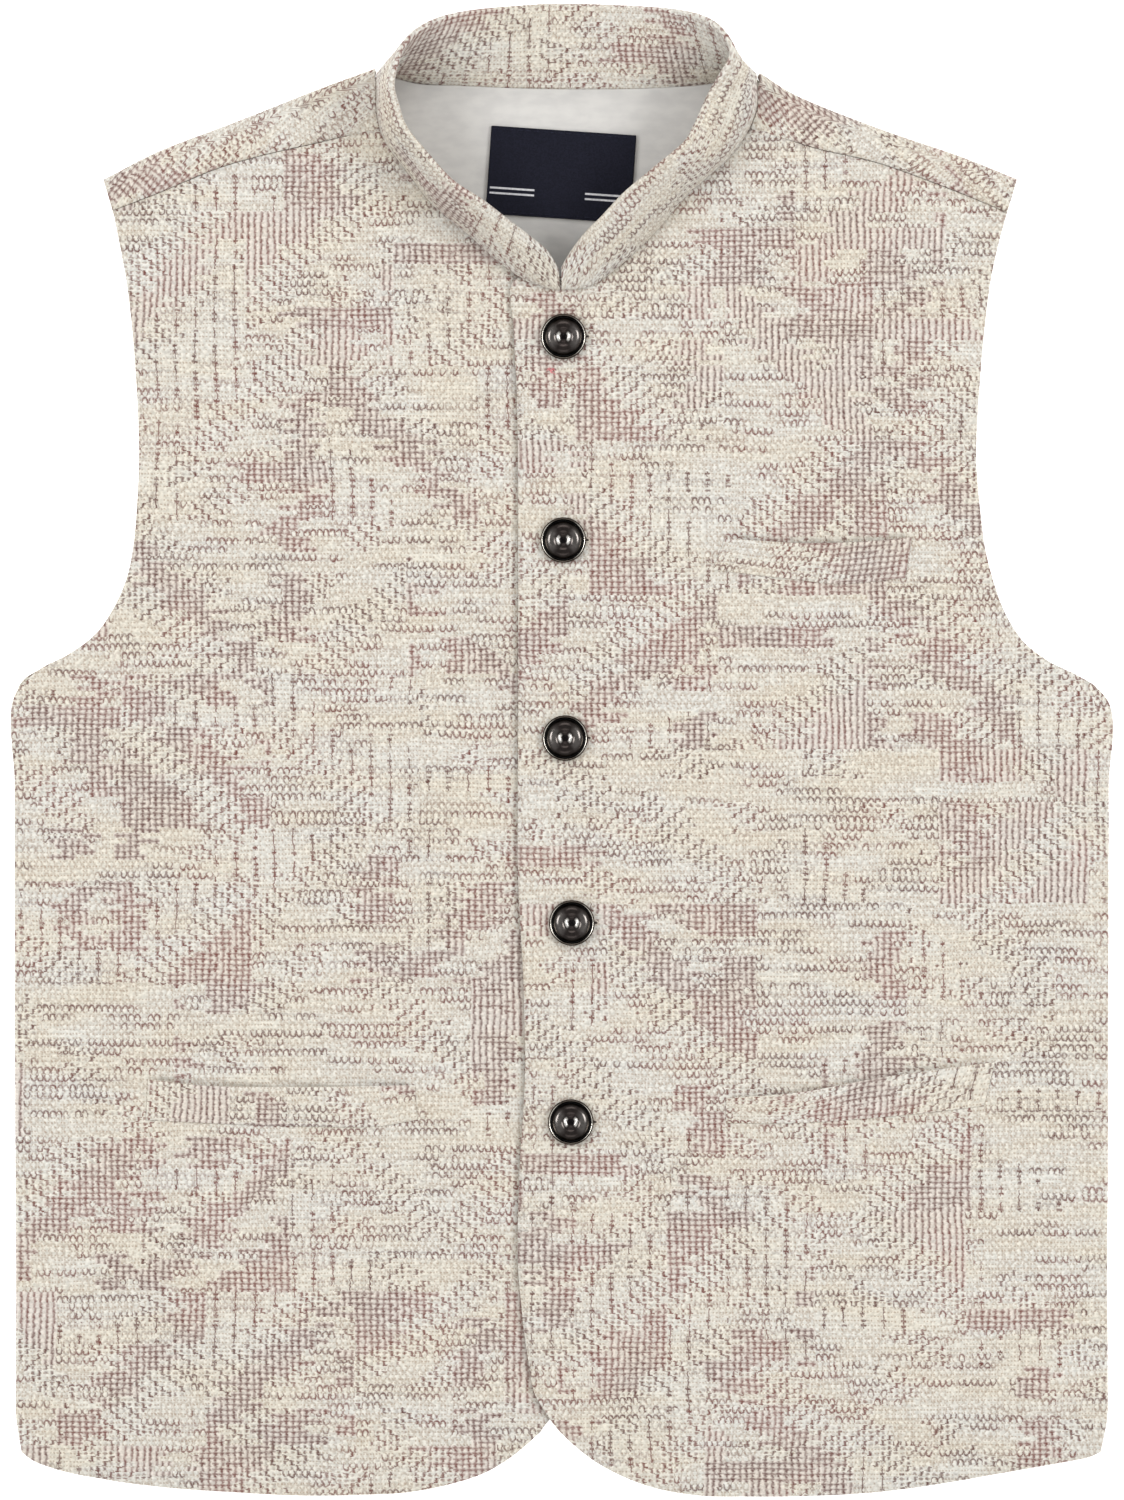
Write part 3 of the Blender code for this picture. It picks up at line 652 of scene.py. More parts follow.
    # Ground: fine ribs and soft nubs, in warm and cool creams
    rib = (plain_y / RIB).part().size()
    warmth = cloth.noise(cloth.vector(x * 0.024, y * 0.075), 1.0, 1.0).rise(0.36, 0.64)
    warmth = warmth * 0.7 + cloth.chance(tile_x, tile_y, part + 30.0) * 0.3
    ground = cloth.mix(is_grid * 0.55, cloth.mix(warmth, COOL_CREAM, CREAM), BLUSH)
    ground = cloth.shade(ground, nubs.rise(0.2, 0.8, 0.8, 1.14) - rib * 0.09)
    ground = cloth.mix(dots * is_grid.rise(0.0, 1.0, 0.62, 0.2), ground, TAN)
    thread = cloth.mix(swing.rise(-0.12, 0.12), MAROON, CHARCOAL)
    arch_thread = cloth.mix(dark_streak, TAN, thread)
    coloured = cloth.mix(arches, ground, arch_thread)
    coloured = cloth.mix(grid.larger(lone).larger(slant) * heavy * 0.94, coloured, thread)
    # Painted shade: the shade attribute darkens the cloth towards a warm brown
    cloth.colour(cloth.mix(cloth.attribute("shade"), coloured, SHADE_BROWN))
    cloth.relief(nubs * 0.8 - rib * 0.4, 0.45, 0.6)
    return cloth.material


def lining():
    """A smooth pale lining in plain weave."""
    cloth = Finish("lining", roughness=0.7, specular=0.2, sheen=0.05)
    x, y = cloth.cloth_coordinates()
    slub = cloth.noise(cloth.vector(x * 0.5, y), 0.25, 3.0)
    weave = (x / 0.4).part().size() + (y / 0.4).part().size()
    ground = cloth.mix(slub.rise(0.3, 0.7), linear(188, 186, 183), linear(197, 195, 191))
    cloth.colour(cloth.shade(ground, cloth.attribute("shade").inverse()))
    cloth.relief(weave * 0.5 + slub * 0.5, 0.12, 0.5)
    return cloth.material


def woven_label():
    """Navy ribbon with a pair of short woven rules at each side."""
    cloth = Finish("woven_label", roughness=0.8, specular=0.15, sheen=0.02)
    x, y = cloth.cloth_coordinates()
    rib = (y / 0.45).part().size()
    yarn = cloth.chance((x / 0.5).whole(), (y / 0.45).whole(), 2.0)
    rules = (y + 6.8).line(0.36, 0.12).larger((y + 8.8).line(0.36, 0.12))
    rules = rules * x.size().between(9.8, 27.0)
    ground = cloth.mix(yarn, linear(14, 15, 26), linear(22, 23, 36))
    pale = cloth.mix(yarn, linear(176, 176, 182), linear(206, 206, 208))
    cloth.colour(cloth.shade(cloth.mix(rules, ground, pale), cloth.attribute("shade").inverse()))
    cloth.relief(rib * 0.6 + rules * 0.4, 0.15, 0.7)
    return cloth.material


def thread(name, dark, light):
    """Twisted sewing thread, between two colours."""
    yarn = Finish(name, roughness=0.85, specular=0.15)
    place = yarn.new("ShaderNodeTexCoord")
    twist = yarn.noise(yarn.value(place.outputs["Object"]), 2600.0, 1.0)
    yarn.colour(yarn.mix(twist.rise(0.35, 0.65), dark, light))
    yarn.relief(twist, 0.1, 0.5)
    return yarn.material


def gunmetal():
    """Dark polished metal: a bright rim, a black groove and a domed face."""
    metal = Finish("gunmetal", roughness=0.25, specular=0.6, metallic=1.0)
    out = metal.attribute("out")
    place = metal.new("ShaderNodeTexCoord")
    scratches = metal.noise(metal.value(place.outputs["Object"]), 900.0, 3.0)
    rim = out.rise(0.865, 0.88) * out.rise(0.935, 0.955, 1.0, 0.0)
    # Painted reflections of the side lights: lighter crescents at both sides of the dome, and a bright glint
    # at both sides of its small bead
    toward_side_lights = metal.attribute("flank")
    dome_reflection = toward_side_lights.rise(0.45, 0.95) * out.rise(0.3, 0.5) * out.rise(0.62, 0.8, 1.0, 0.0)
    bead_glint = toward_side_lights.rise(0.55, 0.9) * out.rise(0.15, 0.2) * out.rise(0.27, 0.33, 1.0, 0.0)
    groove = out.rise(0.76, 0.81) * out.rise(0.875, 0.885, 1.0, 0.0)
    face = metal.mix(dome_reflection, linear(50, 45, 43), linear(98, 94, 91))
    face = metal.mix(out.rise(0.12, 0.17, 1.0, 0.0), face, linear(24, 22, 22))
    face = metal.mix(bead_glint, face, linear(225, 222, 216))
    face = metal.mix(groove, face, linear(22, 21, 21))
    # A dark contour at the rim's outer edge: painted contact shade where it meets the cloth, on an edge a
    # little darker of itself
    face = metal.mix(out.rise(0.935, 0.955), face, linear(52, 44, 38))
    # The rim's bright colour, with a painted reflection of the side lights that brightens it at both sides
    rim_shine = metal.mix(toward_side_lights.rise(0.4, 0.85), linear(92, 85, 78), linear(236, 231, 219))
    face = metal.mix(rim, face, rim_shine)
    metal.colour(metal.shade(face, scratches.rise(0.3, 0.7, 0.85, 1.1)))
    metal.roughness(scratches.rise(0.3, 0.7, 0.14, 0.26))
    return metal.material


# Pieces


def placed(name, data):
    """A new object with a mesh, a lamp or a camera."""
    made = bpy.data.objects.new(name, data)
    bpy.context.collection.objects.link(made)
    return made


SHARP = 0.15           # rounding of a shell's edges where they are cut, as a share of its thickness
EDGE_ANGLE, EDGE_STEPS = math.radians(55), 3


def shell(name, slot, grids, charts, thickness, faces_up=True, shades=None, rounding=0.4):
    """A thin closed shell under one or more grids of outer points that share their meeting edges.

    charts hold where each point lies in the cloth, and shades how much darker it is there."""
    numbered = {}
    corners, places, darkness = [], [], {}
    for number, (grid, chart) in enumerate(zip(grids, charts)):
        index = np.array(
            [[numbered.setdefault(tuple(np.round(p, 4)), len(numbered)) for p in row] for row in grid])
        if shades is not None:
            darkness.update(zip(index.ravel().tolist(), np.ravel(shades[number]).tolist()))
        ring = ((0, 0), (0, 1), (1, 1), (1, 0)) if faces_up else ((1, 0), (1, 1), (0, 1), (0, 0))
        rows, columns = index.shape
        cut = [(slice(r, rows - 1 + r), slice(c, columns - 1 + c)) for r, c in ring]
        corners.append(np.stack([index[piece] for piece in cut], -1).reshape(-1, 4))
        places.append(np.stack([chart[piece] for piece in cut], -2).reshape(-1, 2))
    mesh = bpy.data.meshes.new(name)
    mesh.from_pydata([Vector(p) * MM for p in numbered], [], np.concatenate(corners).tolist())
    chart_layer = mesh.uv_layers.new(name="cloth")
    chart_layer.data.foreach_set("uv", (np.concatenate(places) * MM).astype(np.float32).ravel())
    shade = mesh.attributes.new("shade", "FLOAT", "POINT")
    shade.data.foreach_set("value", [darkness.get(k, 0.0) for k in range(len(numbered))])
    made = placed(name, mesh)
    mesh.materials.append(finishes[slot])
    solid = made.modifiers.new("wall", "SOLIDIFY")
    solid.thickness = thickness * MM
    solid.offset = -1.0
    solid.use_even_offset = True
    rounded = made.modifiers.new("edges", "BEVEL")
    rounded.width = rounding * thickness * MM
    rounded.segments = EDGE_STEPS
    rounded.limit_method = "ANGLE"
    rounded.angle_limit = EDGE_ANGLE
    mesh.shade_smooth()
    return finished(made, slot, name)


def finished(piece, slot, *nodes):
    """A piece on the part's body, with the solids that it stands for hidden; its slot is not used."""
    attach(piece, "root")
    if nodes:
        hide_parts(*nodes)
    return piece


def side_edge(which, counts):
    """Side edge and armhole of one half, up to the forward shoulder seam."""
    if which == "left":
        side = [(left, y) for y, left, _ in SIDE]
        armhole = [(x, y) for y, x, _, _ in ARMHOLE]
    else:
        side = [(right, y) for y, _, right in SIDE]
        armhole = [(x, y) for _, _, y, x in ARMHOLE]
    curve = [side[0], side[1], (side[1][0], CURVE_TOP)]
    return joined([curve, curve[-1:] + side[2:] + armhole[:1], armhole], counts)


def front_height(x, y, lap_height):
    """Top of a front over the back, before its edges are turned down."""
    away = ease(*LAP_EASE, np.abs(x))
    body = lap_height + (BODY - lap_height) * away
    raised = body + (SHOULDER - body) * ease(*SHOULDER_RISE, y)
    return raised - HEM_SINK * ease(-HEM_SINK_FROM, -HEM_SINK_TO, -y)


def crease_height(x, y):
    """What the creases and the cloth's own unevenness add to the fronts."""
    total = sum(height * wander(x, y, size, seed) for height, size, seed in UNEVEN)
    for number, (x0, y0, x1, y1, half_width, height) in enumerate(CREASES):
        length = math.hypot(x1 - x0, y1 - y0)
        ahead_x, ahead_y = (x1 - x0) / length, (y1 - y0) / length
        along = ((x - x0) * ahead_x + (y - y0) * ahead_y) / length
        bend = CREASE_BEND * length * np.sin(math.pi * along + number)
        aside = -(x - x0) * ahead_y + (y - y0) * ahead_x - bend
        width = half_width * (CREASE_NARROW + CREASE_WIDENS * np.clip(along, 0, 1))
        fades = ease(-CREASE_ENDS[1], -CREASE_ENDS[0], -along)
        total += height * bell(aside, 0.0, width) * ease(*CREASE_STARTS, along) * fades
    return total * ease(*UNCREASED_LAP, np.abs(x))


def front_top(x, y, lap_height):
    """The top of a front with its creases, where a welt or a thread can lie on it."""
    return front_height(x, y, lap_height) + crease_height(x, y)


def welt_slit(x, y):
    """How near a point is to the upper edge of a welt, where the pocket opens: 0 to 1."""
    near = np.zeros(np.shape(x))
    for piece in WELTS.values():
        top = evenly(piece["top"], SLIT_POINTS)
        above = y - np.interp(x, top[:, 0], top[:, 1], left=np.nan, right=np.nan)
        inside = ease(0.0, SLIT_ENDS, x - top[0, 0]) * ease(0.0, SLIT_ENDS, top[-1, 0] - x)
        near = np.maximum(near, np.nan_to_num(bell(above, SLIT_AT, SLIT_WIDTH) * inside))
    return near


def under_lap(x, y):
    """Painted shadow on the right front beside the edge that laps over it, 0 to 1."""
    edge = np.vstack([evenly(run, EDGE_POINTS) for run in OVER_EDGES])
    order = np.argsort(edge[:, 1])
    beyond = np.interp(y, edge[order, 1], edge[order, 0]) - x
    return LAP_SHADE * bell(np.clip(beyond, 0, None), 0.0, LAP_SHADE_WIDTH)


def front_panel(name, which, lap_height, edge_runs, hem, neck, cut=(0.0, 0.0)):
    """One front: rolled down to the back at its side, open at hem, armhole and neck.

    which is its side in the picture, and cut is where in the cloth's pattern it is cut."""
    outwards = 1 if which == "right" else -1
    edge = joined(edge_runs, EDGE_ROWS)
    neck_row = moved_aside(evenly(neck, NECK_ROWS + 1), NECK_MARGIN * outwards)
    start = np.vstack([edge, neck_row[1:]])
    end = side_edge(which, (EDGE_ROWS[0], EDGE_ROWS[1], EDGE_ROWS[2] + NECK_ROWS))
    across = np.array([d / FRONT_WIDTH for d in FROM_FREE_EDGE] + [1 - d / FRONT_WIDTH for d in FROM_SIDE])
    up = (lengths(start) / lengths(start)[-1] + lengths(end) / lengths(end)[-1]) / 2
    margin_corner = np.array(SHOULDER_SEAM[which][0]) - (outwards * NECK_MARGIN, 0.0)
    seam = at_shares((tuple(margin_corner),) + SHOULDER_SEAM[which], across)
    seam[:, 1] -= SEAM_GAP
    start[-1], end[-1] = seam[0], seam[-1]
    plan = patch(at_shares(hem, across), seam, start, end, across, up)
    plan[:HEM_ROWS] = relaxed(plan[:HEM_ROWS], across, up[:HEM_ROWS])

    fine_up = finer_shares(up, FRONT_LENGTH, FINE)
    fine_across = finer_shares(across, FRONT_WIDTH, FINE)
    plan = refined(plan, up, fine_up)
    plan = refined(plan.transpose(1, 0, 2), across, fine_across).transpose(1, 0, 2)
    x, y = plan[..., 0], plan[..., 1]
    from_hem, from_seam, from_free_edge, from_side_edge = (
        np.linalg.norm(plan - edge, axis=2) for edge in (plan[:1], plan[-1:], plan[:, :1], plan[:, -1:]))

    z = front_height(x, y, lap_height)
    hem_share = nearness(from_hem, OPEN_EDGE_WIDTH)
    z -= OPEN_EDGE_DROP * hem_share * ease(*HEM_DROP_EASE, from_side_edge) * ease(*LAP_LEVEL, np.abs(x))
    creases = crease_height(x, y)
    for distance, margin in zip((from_side_edge, from_hem, from_seam), CREASE_MARGINS):
        creases = creases * ease(0.0, margin, distance)
    z += creases
    # Turned edges hold their seam allowance: a soft ridge beside each, a little puckered
    pucker = 1 + PUCKER * wander(x, y, PUCKER_SIZE, 21)
    for distance, height in ((from_free_edge, FREE_EDGE_RIDGE), (from_hem, HEM_RIDGE)):
        z += height * pucker * bell(distance, RIDGE_AT, RIDGE_WIDTH)
    slit = welt_slit(x, y)
    z -= SLIT_DEPTH * slit
    seam_dip = nearness(from_seam, SEAM_DIP_WIDTH)
    z -= SEAM_DIP * seam_dip
    armhole_edge = z - OPEN_EDGE_DROP * nearness(from_side_edge, OPEN_EDGE_WIDTH)
    armhole_edge += ARMHOLE_RIDGE * pucker * bell(from_side_edge, ARMHOLE_RIDGE_AT, RIDGE_WIDTH)
    end_height = ROLL_END + (ROLL_END_AT_HEM - ROLL_END) * ease(-ROLL_DROPS_FROM, -ROLL_DROPS_TO, -y)
    radius = z - end_height
    inside = np.clip(radius - from_side_edge, 0, None)
    rolled = end_height + np.sqrt(np.clip(radius**2 - inside**2, 0, None))
    underarm = EDGE_ROWS[0] + EDGE_ROWS[1]
    coarse_row = np.interp(fine_up, up, np.arange(len(up)))[:, None]
    open_share = ease(underarm - OPENS_OVER, underarm, coarse_row)
    z = rolled * (1 - open_share) + armhole_edge * open_share
    shade = SLIT_SHADE * slit + SEAM_SHADE * seam_dip
    shade += EDGE_SHADE * np.clip(1 - from_free_edge / EDGE_SHADE_WIDTH, 0, 1)
    if name == "front_right":
        shade += under_lap(x, y)
    return shell(name, "jacquard_cloth", [np.dstack([x, y, z])], [plan + cut], CLOTH,
                 faces_up=which == "right", shades=[shade], rounding=SHARP)


def drawn_to_collar(which, plan):
    """Points of a shoulder's neck end moved on until they meet the collar."""
    neck_x, full, least, low_y, high_y = NECK_PULL[which]
    outwards = math.copysign(1.0, neck_x)
    pull = least + (full - least) * (1 - ease(low_y, high_y, plan[:, 1]))
    plan = plan.copy()
    plan[:, 0] -= outwards * pull * (1 - ease(0.0, NECK_PULL_FROM, np.abs(plan[:, 0] - neck_x)))
    return plan


def shoulder_wrap(which, edge, seam):
    """Outer points of the back where it turns over the shoulder and runs to the seam, and its chart."""
    out = edge - seam
    out /= np.linalg.norm(out, axis=1)[:, None]
    rows, charts, shades = [], [], []
    fold = edge[-1] - edge[0]
    fold /= np.linalg.norm(fold)
    square = np.array([-fold[1], fold[0]])
    for angle in np.radians(np.linspace(-90, 90, FOLD_STEPS)):
        plan = edge - SHOULDER_FOLD * out + SHOULDER_FOLD * math.cos(angle) * out
        rows.append(np.column_stack([plan, np.full(len(plan), SHOULDER_FOLD * (1 + math.sin(angle)))]))
        charts.append(edge + (SHOULDER_FOLD * (angle + math.pi / 2) - SHOULDER_FOLD) * out)
        shades.append(np.zeros(len(plan)))
    turned = rows[-1]
    for share in np.linspace(0.0, 1.0, WRAP_STEPS)[1:]:
        plan = drawn_to_collar(which, turned[:, :2] + share * (seam - turned[:, :2]))
        to_seam = np.linalg.norm(plan - seam, axis=1)
        dip = nearness(to_seam, SEAM_DIP_WIDTH)
        from_neck = ease(0.0, NECK_PULL_FROM, np.abs(plan[:, 0]) - abs(NECK_PULL[which][0]))
        uneven = 1 + 0.5 * wander(plan[:, 0], plan[:, 1], 30.0, 5)
        swell = SHOULDER_SWELL * math.sin(math.pi * share) * uneven * from_neck
        rows.append(np.column_stack([plan, turned[:, 2] + swell - SEAM_DIP * dip]))
        # In the cloth the strip lies beyond the edge, as much further out as the fold takes up
        beyond = (plan - edge) @ square
        fold_length = (math.pi - 2) * SHOULDER_FOLD * np.sign(-beyond)[:, None]
        charts.append(plan - 2 * beyond[:, None] * square + fold_length * square)
        shades.append(SEAM_SHADE * dip)
    return np.array(rows), np.array(charts), np.array(shades)


def back_panel():
    """The back: flat on the surface, and turned forward over both shoulders."""
    shoulder_steps, neck_steps = 48, 60
    wraps = {}
    for which in ("left", "right"):
        edge = evenly(SHOULDER_EDGE[which], shoulder_steps + 1)
        seam = evenly(SHOULDER_SEAM[which], shoulder_steps + 1)
        if which == "left":
            edge, seam = edge[::-1], seam[::-1]
        wraps[which] = shoulder_wrap(which, edge, seam)
    neck = evenly(BACK_NECK, neck_steps + 1)
    fold_left, fold_right = wraps["left"][0][0][:, :2], wraps["right"][0][0][:, :2]
    neck[0], neck[-1] = fold_left[-1], fold_right[0]
    top = np.vstack([fold_left, neck[1:-1], fold_right])
    across = lengths(top) / lengths(top)[-1]
    hem_rows, body_rows, armhole_rows = 15, 30, 60
    sides = []
    for corner, tip, which in ((0, fold_left[0], "left"), (-1, fold_right[-1], "right")):
        edge = side_edge(which, (hem_rows, body_rows, armhole_rows))
        edge[:hem_rows + 1] = np.linspace(BACK_HEM[corner], edge[hem_rows], hem_rows + 1)
        edge[-1] = tip
        sides.append(edge)
    up = lengths(sides[0]) / lengths(sides[0])[-1]
    plan = patch(at_shares(BACK_HEM, across), top, sides[0], sides[1], across, up)
    flat = np.dstack([plan, np.zeros(plan.shape[:2])])
    parts = (wraps["left"], wraps["right"])
    grids, charts, shades = ([first] + [part[k] for part in parts]
                             for k, first in enumerate((flat, plan, np.zeros(plan.shape[:2]))))
    return shell("back", "jacquard_cloth", grids, charts, CLOTH,
                 faces_up=False, shades=shades, rounding=SHARP)


def evened(vectors, rounds=12):
    """Unit vectors of a grid, each drawn towards those beside it in its row."""
    for _ in range(rounds):
        vectors = vectors / np.linalg.norm(vectors, axis=2)[..., None]
        vectors[:, 1:-1] = (vectors[:, :-2] + 2 * vectors[:, 1:-1] + vectors[:, 2:]) / 4
    return vectors / np.linalg.norm(vectors, axis=2)[..., None]


def collar_band():
    """The standing collar: leans in at the front and sides, and lies back behind the neck."""
    rows = []
    for seam_x, seam_y, seam_z, rim_x, rim_y, band in COLLAR:
        reach = math.hypot(rim_x - seam_x, rim_y - seam_y)
        rise = math.sqrt(band**2 - reach**2)
        share = (reach - BAND_WALL * rise / band) / reach
        rows.append((seam_x, seam_y, seam_z,
                     seam_x + share * (rim_x - seam_x), seam_y + share * (rim_y - seam_y), seam_z + rise))
    sections = evenly(rows, BAND_COLUMNS)
    sections[:, 2] = np.maximum(sections[:, 2], 0.0)
    base, rim = sections[:, :3], sections[:, 3:]
    reach, rise = rim[:, :2] - base[:, :2], rim[:, 2] - base[:, 2]
    steep = rise / np.hypot(rise, np.linalg.norm(reach, axis=1))
    run = lengths((base + rim) / 2)
    height_along = np.linalg.norm(rim - base, axis=1)
    fold = BAND_WALL / 2
    shares = np.linspace(0.0, 1.0, BAND_ROWS)[:, None] * (1 - fold / height_along)
    outer = np.empty((len(shares), len(run), 3))
    outer[..., :2] = base[:, :2] + reach * (shares ** (1 + BAND_LEAN * steep))[..., None]
    outer[..., 2] = base[:, 2] + rise * (1 - (1 - shares) ** (1 + BAND_RISE * steep))

    # The band is folded over at its rim, and its two layers close up at the front ends
    up = evened(np.gradient(outer, axis=0))
    inwards = evened(np.cross(np.gradient(outer, axis=1), up))
    from_end = np.minimum(run, run[-1] - run)
    wall = BAND_WALL - BAND_PINCH * (1 - ease(0.0, BAND_PINCH_WIDTH, from_end))
    outer += (BAND_WALL - wall)[None, :, None] / 2 * inwards
    turns = np.radians(np.linspace(0, 180, RIM_STEPS))[1:-1, None, None]
    middle = outer[-1] + wall[:, None] / 2 * inwards[-1]
    over = middle + wall[:, None] / 2 * (np.sin(turns) * up[-1] - np.cos(turns) * inwards[-1])
    inner = (outer + wall[None, :, None] * inwards)[::-1]
    grid = np.concatenate([outer, over, inner])
    grid[..., 2] = np.maximum(grid[..., 2], 0.0)
    # The weave runs along the rim and is cut off at the seams
    steps = np.linalg.norm(np.diff(grid, axis=0), axis=2)
    up_chart = np.vstack([np.zeros(len(run)), np.cumsum(steps, axis=0)])
    up_chart -= up_chart[len(outer) + len(over) // 2]
    chart = np.dstack([np.broadcast_to(run, up_chart.shape), up_chart])
    shades = np.zeros(chart.shape[:2])
    shades[:len(outer)] = BASE_SHADE * (1 - ease(0.0, BASE_OUTSIDE, shares))
    shades[-len(inner):] = BASE_SHADE * (1 - ease(0.0, BASE_INSIDE, shares[::-1]))
    return shell("collar", "jacquard_cloth", [grid], [chart + COLLAR_CUT], BAND_CLOTH,
                 faces_up=False, shades=[shades], rounding=0.3)


def strip_plan(top, bottom, columns, rows):
    """A plan grid between a top and a bottom edge."""
    high, low = evenly(top, columns + 1), evenly(bottom, columns + 1)
    shares = np.linspace(0.0, 1.0, rows + 1)[:, None, None]
    return low[None] + shares * (high - low)[None]


def welt(name, number, front, top, bottom):
    """A pocket welt on its front, with its grain along it."""
    plan = strip_plan(top, bottom, *WELT_STEPS)
    x, y = plan[..., 0], plan[..., 1]
    lap = OVER_FRONT if front == "over" else UNDER_FRONT
    rows, columns = x.shape
    up, along = np.meshgrid(np.linspace(0, 1, rows), np.linspace(0, 1, columns), indexing="ij")
    swell = WELT_SWELL * np.sin(0.5 * math.pi * up) ** 2 * np.sin(math.pi * along) ** 0.4
    z = front_top(x, y, lap) + WELT_GAP + WELT_CLOTH + swell
    length, width = lengths(plan[0])[-1], lengths(plan[:, columns // 2])[-1]
    chart = np.dstack([along * length, up * width]) + number * np.array(WELT_CUT)
    return shell(name, "jacquard_cloth", [np.dstack([plan, z])], [chart], WELT_CLOTH)


def back_neck_lining(top_height):
    """The lining that shows inside the neck, with a few soft wrinkles."""
    plan = strip_plan(LINING_EDGES["top"], LINING_EDGES["bottom"], *LINING_STEPS)
    plan[..., 1] += LINING_TUCK * ease(-LINING_TUCK_WIDTH, 0.0, plan[..., 1] - plan[-1:, :, 1])
    x, y = plan[..., 0], plan[..., 1]
    z = top_height + 0.25 + 0.25 * wander(x, y, 40.0, 31)
    shade = LINING_SHADE * ease(-LINING_DARKENS[1], -LINING_DARKENS[0], -y)
    shade += LINING_TOP_SHADE * ease(*LINING_TOP_DARKENS, y)
    return shell("back_neck_lining", "lining", [np.dstack([plan, z])], [plan], LINING_WALL, shades=[shade])


def label_place(x, y):
    """Plan place of a point given from the label's middle, along its edges."""
    return (LABEL_AT[0] + x * math.cos(LABEL_TURN) - y * math.sin(LABEL_TURN),
            LABEL_AT[1] + x * math.sin(LABEL_TURN) + y * math.cos(LABEL_TURN))


def label_top(x, y, top_height):
    return top_height + 0.4 + 0.12 * wander(x, y, 22.0, 41)


def label(top_height):
    """The label: a rectangle of ribbon, sewn on a little askew."""
    x, y = np.meshgrid(*[np.linspace(-0.5, 0.5, count) * side
                         for count, side in zip(LABEL_POINTS, LABEL_SIZE)])
    form = np.dstack([*label_place(x, y), label_top(x, y, top_height)])
    return shell("label", "woven_label", [form], [np.dstack([x, y])], LABEL_WALL)


BUTTON_TURNING = (
    # radius as a share of the button's, height in mm
    (0.86, 0.0), (0.93, 0.15), (0.98, 0.6), (1.0, 1.2), (1.0, 1.8), (0.99, 2.15), (0.97, 2.4), (0.945, 2.5),
    (0.92, 2.4), (0.9, 2.1), (0.885, 1.6), (0.86, 1.3), (0.83, 1.3), (0.805, 1.5), (0.775, 1.95), (0.73, 2.4),
    (0.68, 2.7), (0.62, 2.95), (0.55, 3.1), (0.47, 3.12), (0.4, 3.0), (0.36, 2.8), (0.33, 2.75), (0.3, 2.85),
    (0.27, 3.15), (0.235, 3.3), (0.2, 3.25), (0.17, 2.95), (0.14, 2.8), (0.1, 2.95), (0.05, 3.05),
)
BUTTON_SIDES = 72
THREAD_RINGS, THREAD_SIDES = 12, 8
STITCH, STITCH_STEP, STITCH_INSET = 2.2, 3.1, 1.1
FLUFF_AT = (-4.0, 145.8)


def ring_walls(first, sides, rings):
    """Faces between rings of so many points each, numbered on from the first."""
    return [(low + k, low + (k + 1) % sides, low + sides + (k + 1) % sides, low + sides + k)
            for low in range(first, first + (rings - 1) * sides, sides) for k in range(sides)]


def button(name, place, seat):
    """A turned metal button: rolled bright rim, groove, dome and a small eye."""
    verts = [(0.0, 0.0, 0.0)]
    reach, flank = [BUTTON_TURNING[0][0]], [0.0]
    for share, height in BUTTON_TURNING:
        for k in range(BUTTON_SIDES):
            turn = 2 * math.pi * k / BUTTON_SIDES
            radius = share * BUTTON_RADIUS
            verts.append((radius * math.cos(turn), radius * math.sin(turn), height))
            reach.append(share)
            flank.append(abs(math.cos(turn)))
    verts.append((0.0, 0.0, BUTTON_TURNING[-1][1] + 0.02))
    reach.append(0.0)
    flank.append(0.0)
    faces = ring_walls(1, BUTTON_SIDES, len(BUTTON_TURNING))
    top, last = len(verts) - 1, len(verts) - 1 - BUTTON_SIDES
    for k in range(BUTTON_SIDES):
        after = (k + 1) % BUTTON_SIDES
        faces += [(0, 1 + after, 1 + k), (last + k, last + after, top)]
    mesh = bpy.data.meshes.new(name)
    shift = Vector((place[0], place[1], seat))
    mesh.from_pydata([(Vector(v) + shift) * MM for v in verts], [], faces)
    # flank, how far towards the left or right a point lies, places the metal's painted reflections of the
    # side lights
    for attribute, values in (("out", reach), ("flank", flank)):
        mesh.attributes.new(attribute, "FLOAT", "POINT").data.foreach_set("value", values)
    mesh.materials.append(finishes["gunmetal"])
    mesh.shade_smooth()
    return finished(placed(name, mesh), "gunmetal", name)


def threads(name, slot, runs):
    """Short round threads, each a path, a radius and a finish, with tapered ends."""
    verts, faces, numbers = [], [], []
    used = []
    for path, radius, finish in runs:
        if finish not in used:
            used.append(finish)
        path = evenly(path, THREAD_RINGS)
        ahead = np.gradient(path, axis=0)
        ahead /= np.linalg.norm(ahead, axis=1)[:, None]
        side = np.cross(ahead, (0.0, 0.0, 1.0))
        side /= np.linalg.norm(side, axis=1)[:, None]
        over = np.cross(side, ahead)
        first = len(verts)
        for k in range(THREAD_RINGS):
            girth = radius * max(0.3, 1 - abs(2 * k / (THREAD_RINGS - 1) - 1) ** 6)
            for turn in np.linspace(0, 2 * math.pi, THREAD_SIDES, endpoint=False):
                verts.append(path[k] + girth * (math.cos(turn) * side[k] + math.sin(turn) * over[k]))
        walls = ring_walls(first, THREAD_SIDES, THREAD_RINGS)
        ends = [range(first, first + THREAD_SIDES)[::-1], range(len(verts) - THREAD_SIDES, len(verts))]
        faces += walls + [tuple(end) for end in ends]
        numbers += [used.index(finish)] * (len(walls) + len(ends))
    mesh = bpy.data.meshes.new(name)
    mesh.from_pydata([Vector(v) * MM for v in verts], [], faces)
    for finish in used:
        mesh.materials.append(finishes[finish])
    mesh.polygons.foreach_set("material_index", numbers)
    mesh.shade_smooth()
    return finished(placed(name, mesh), slot)


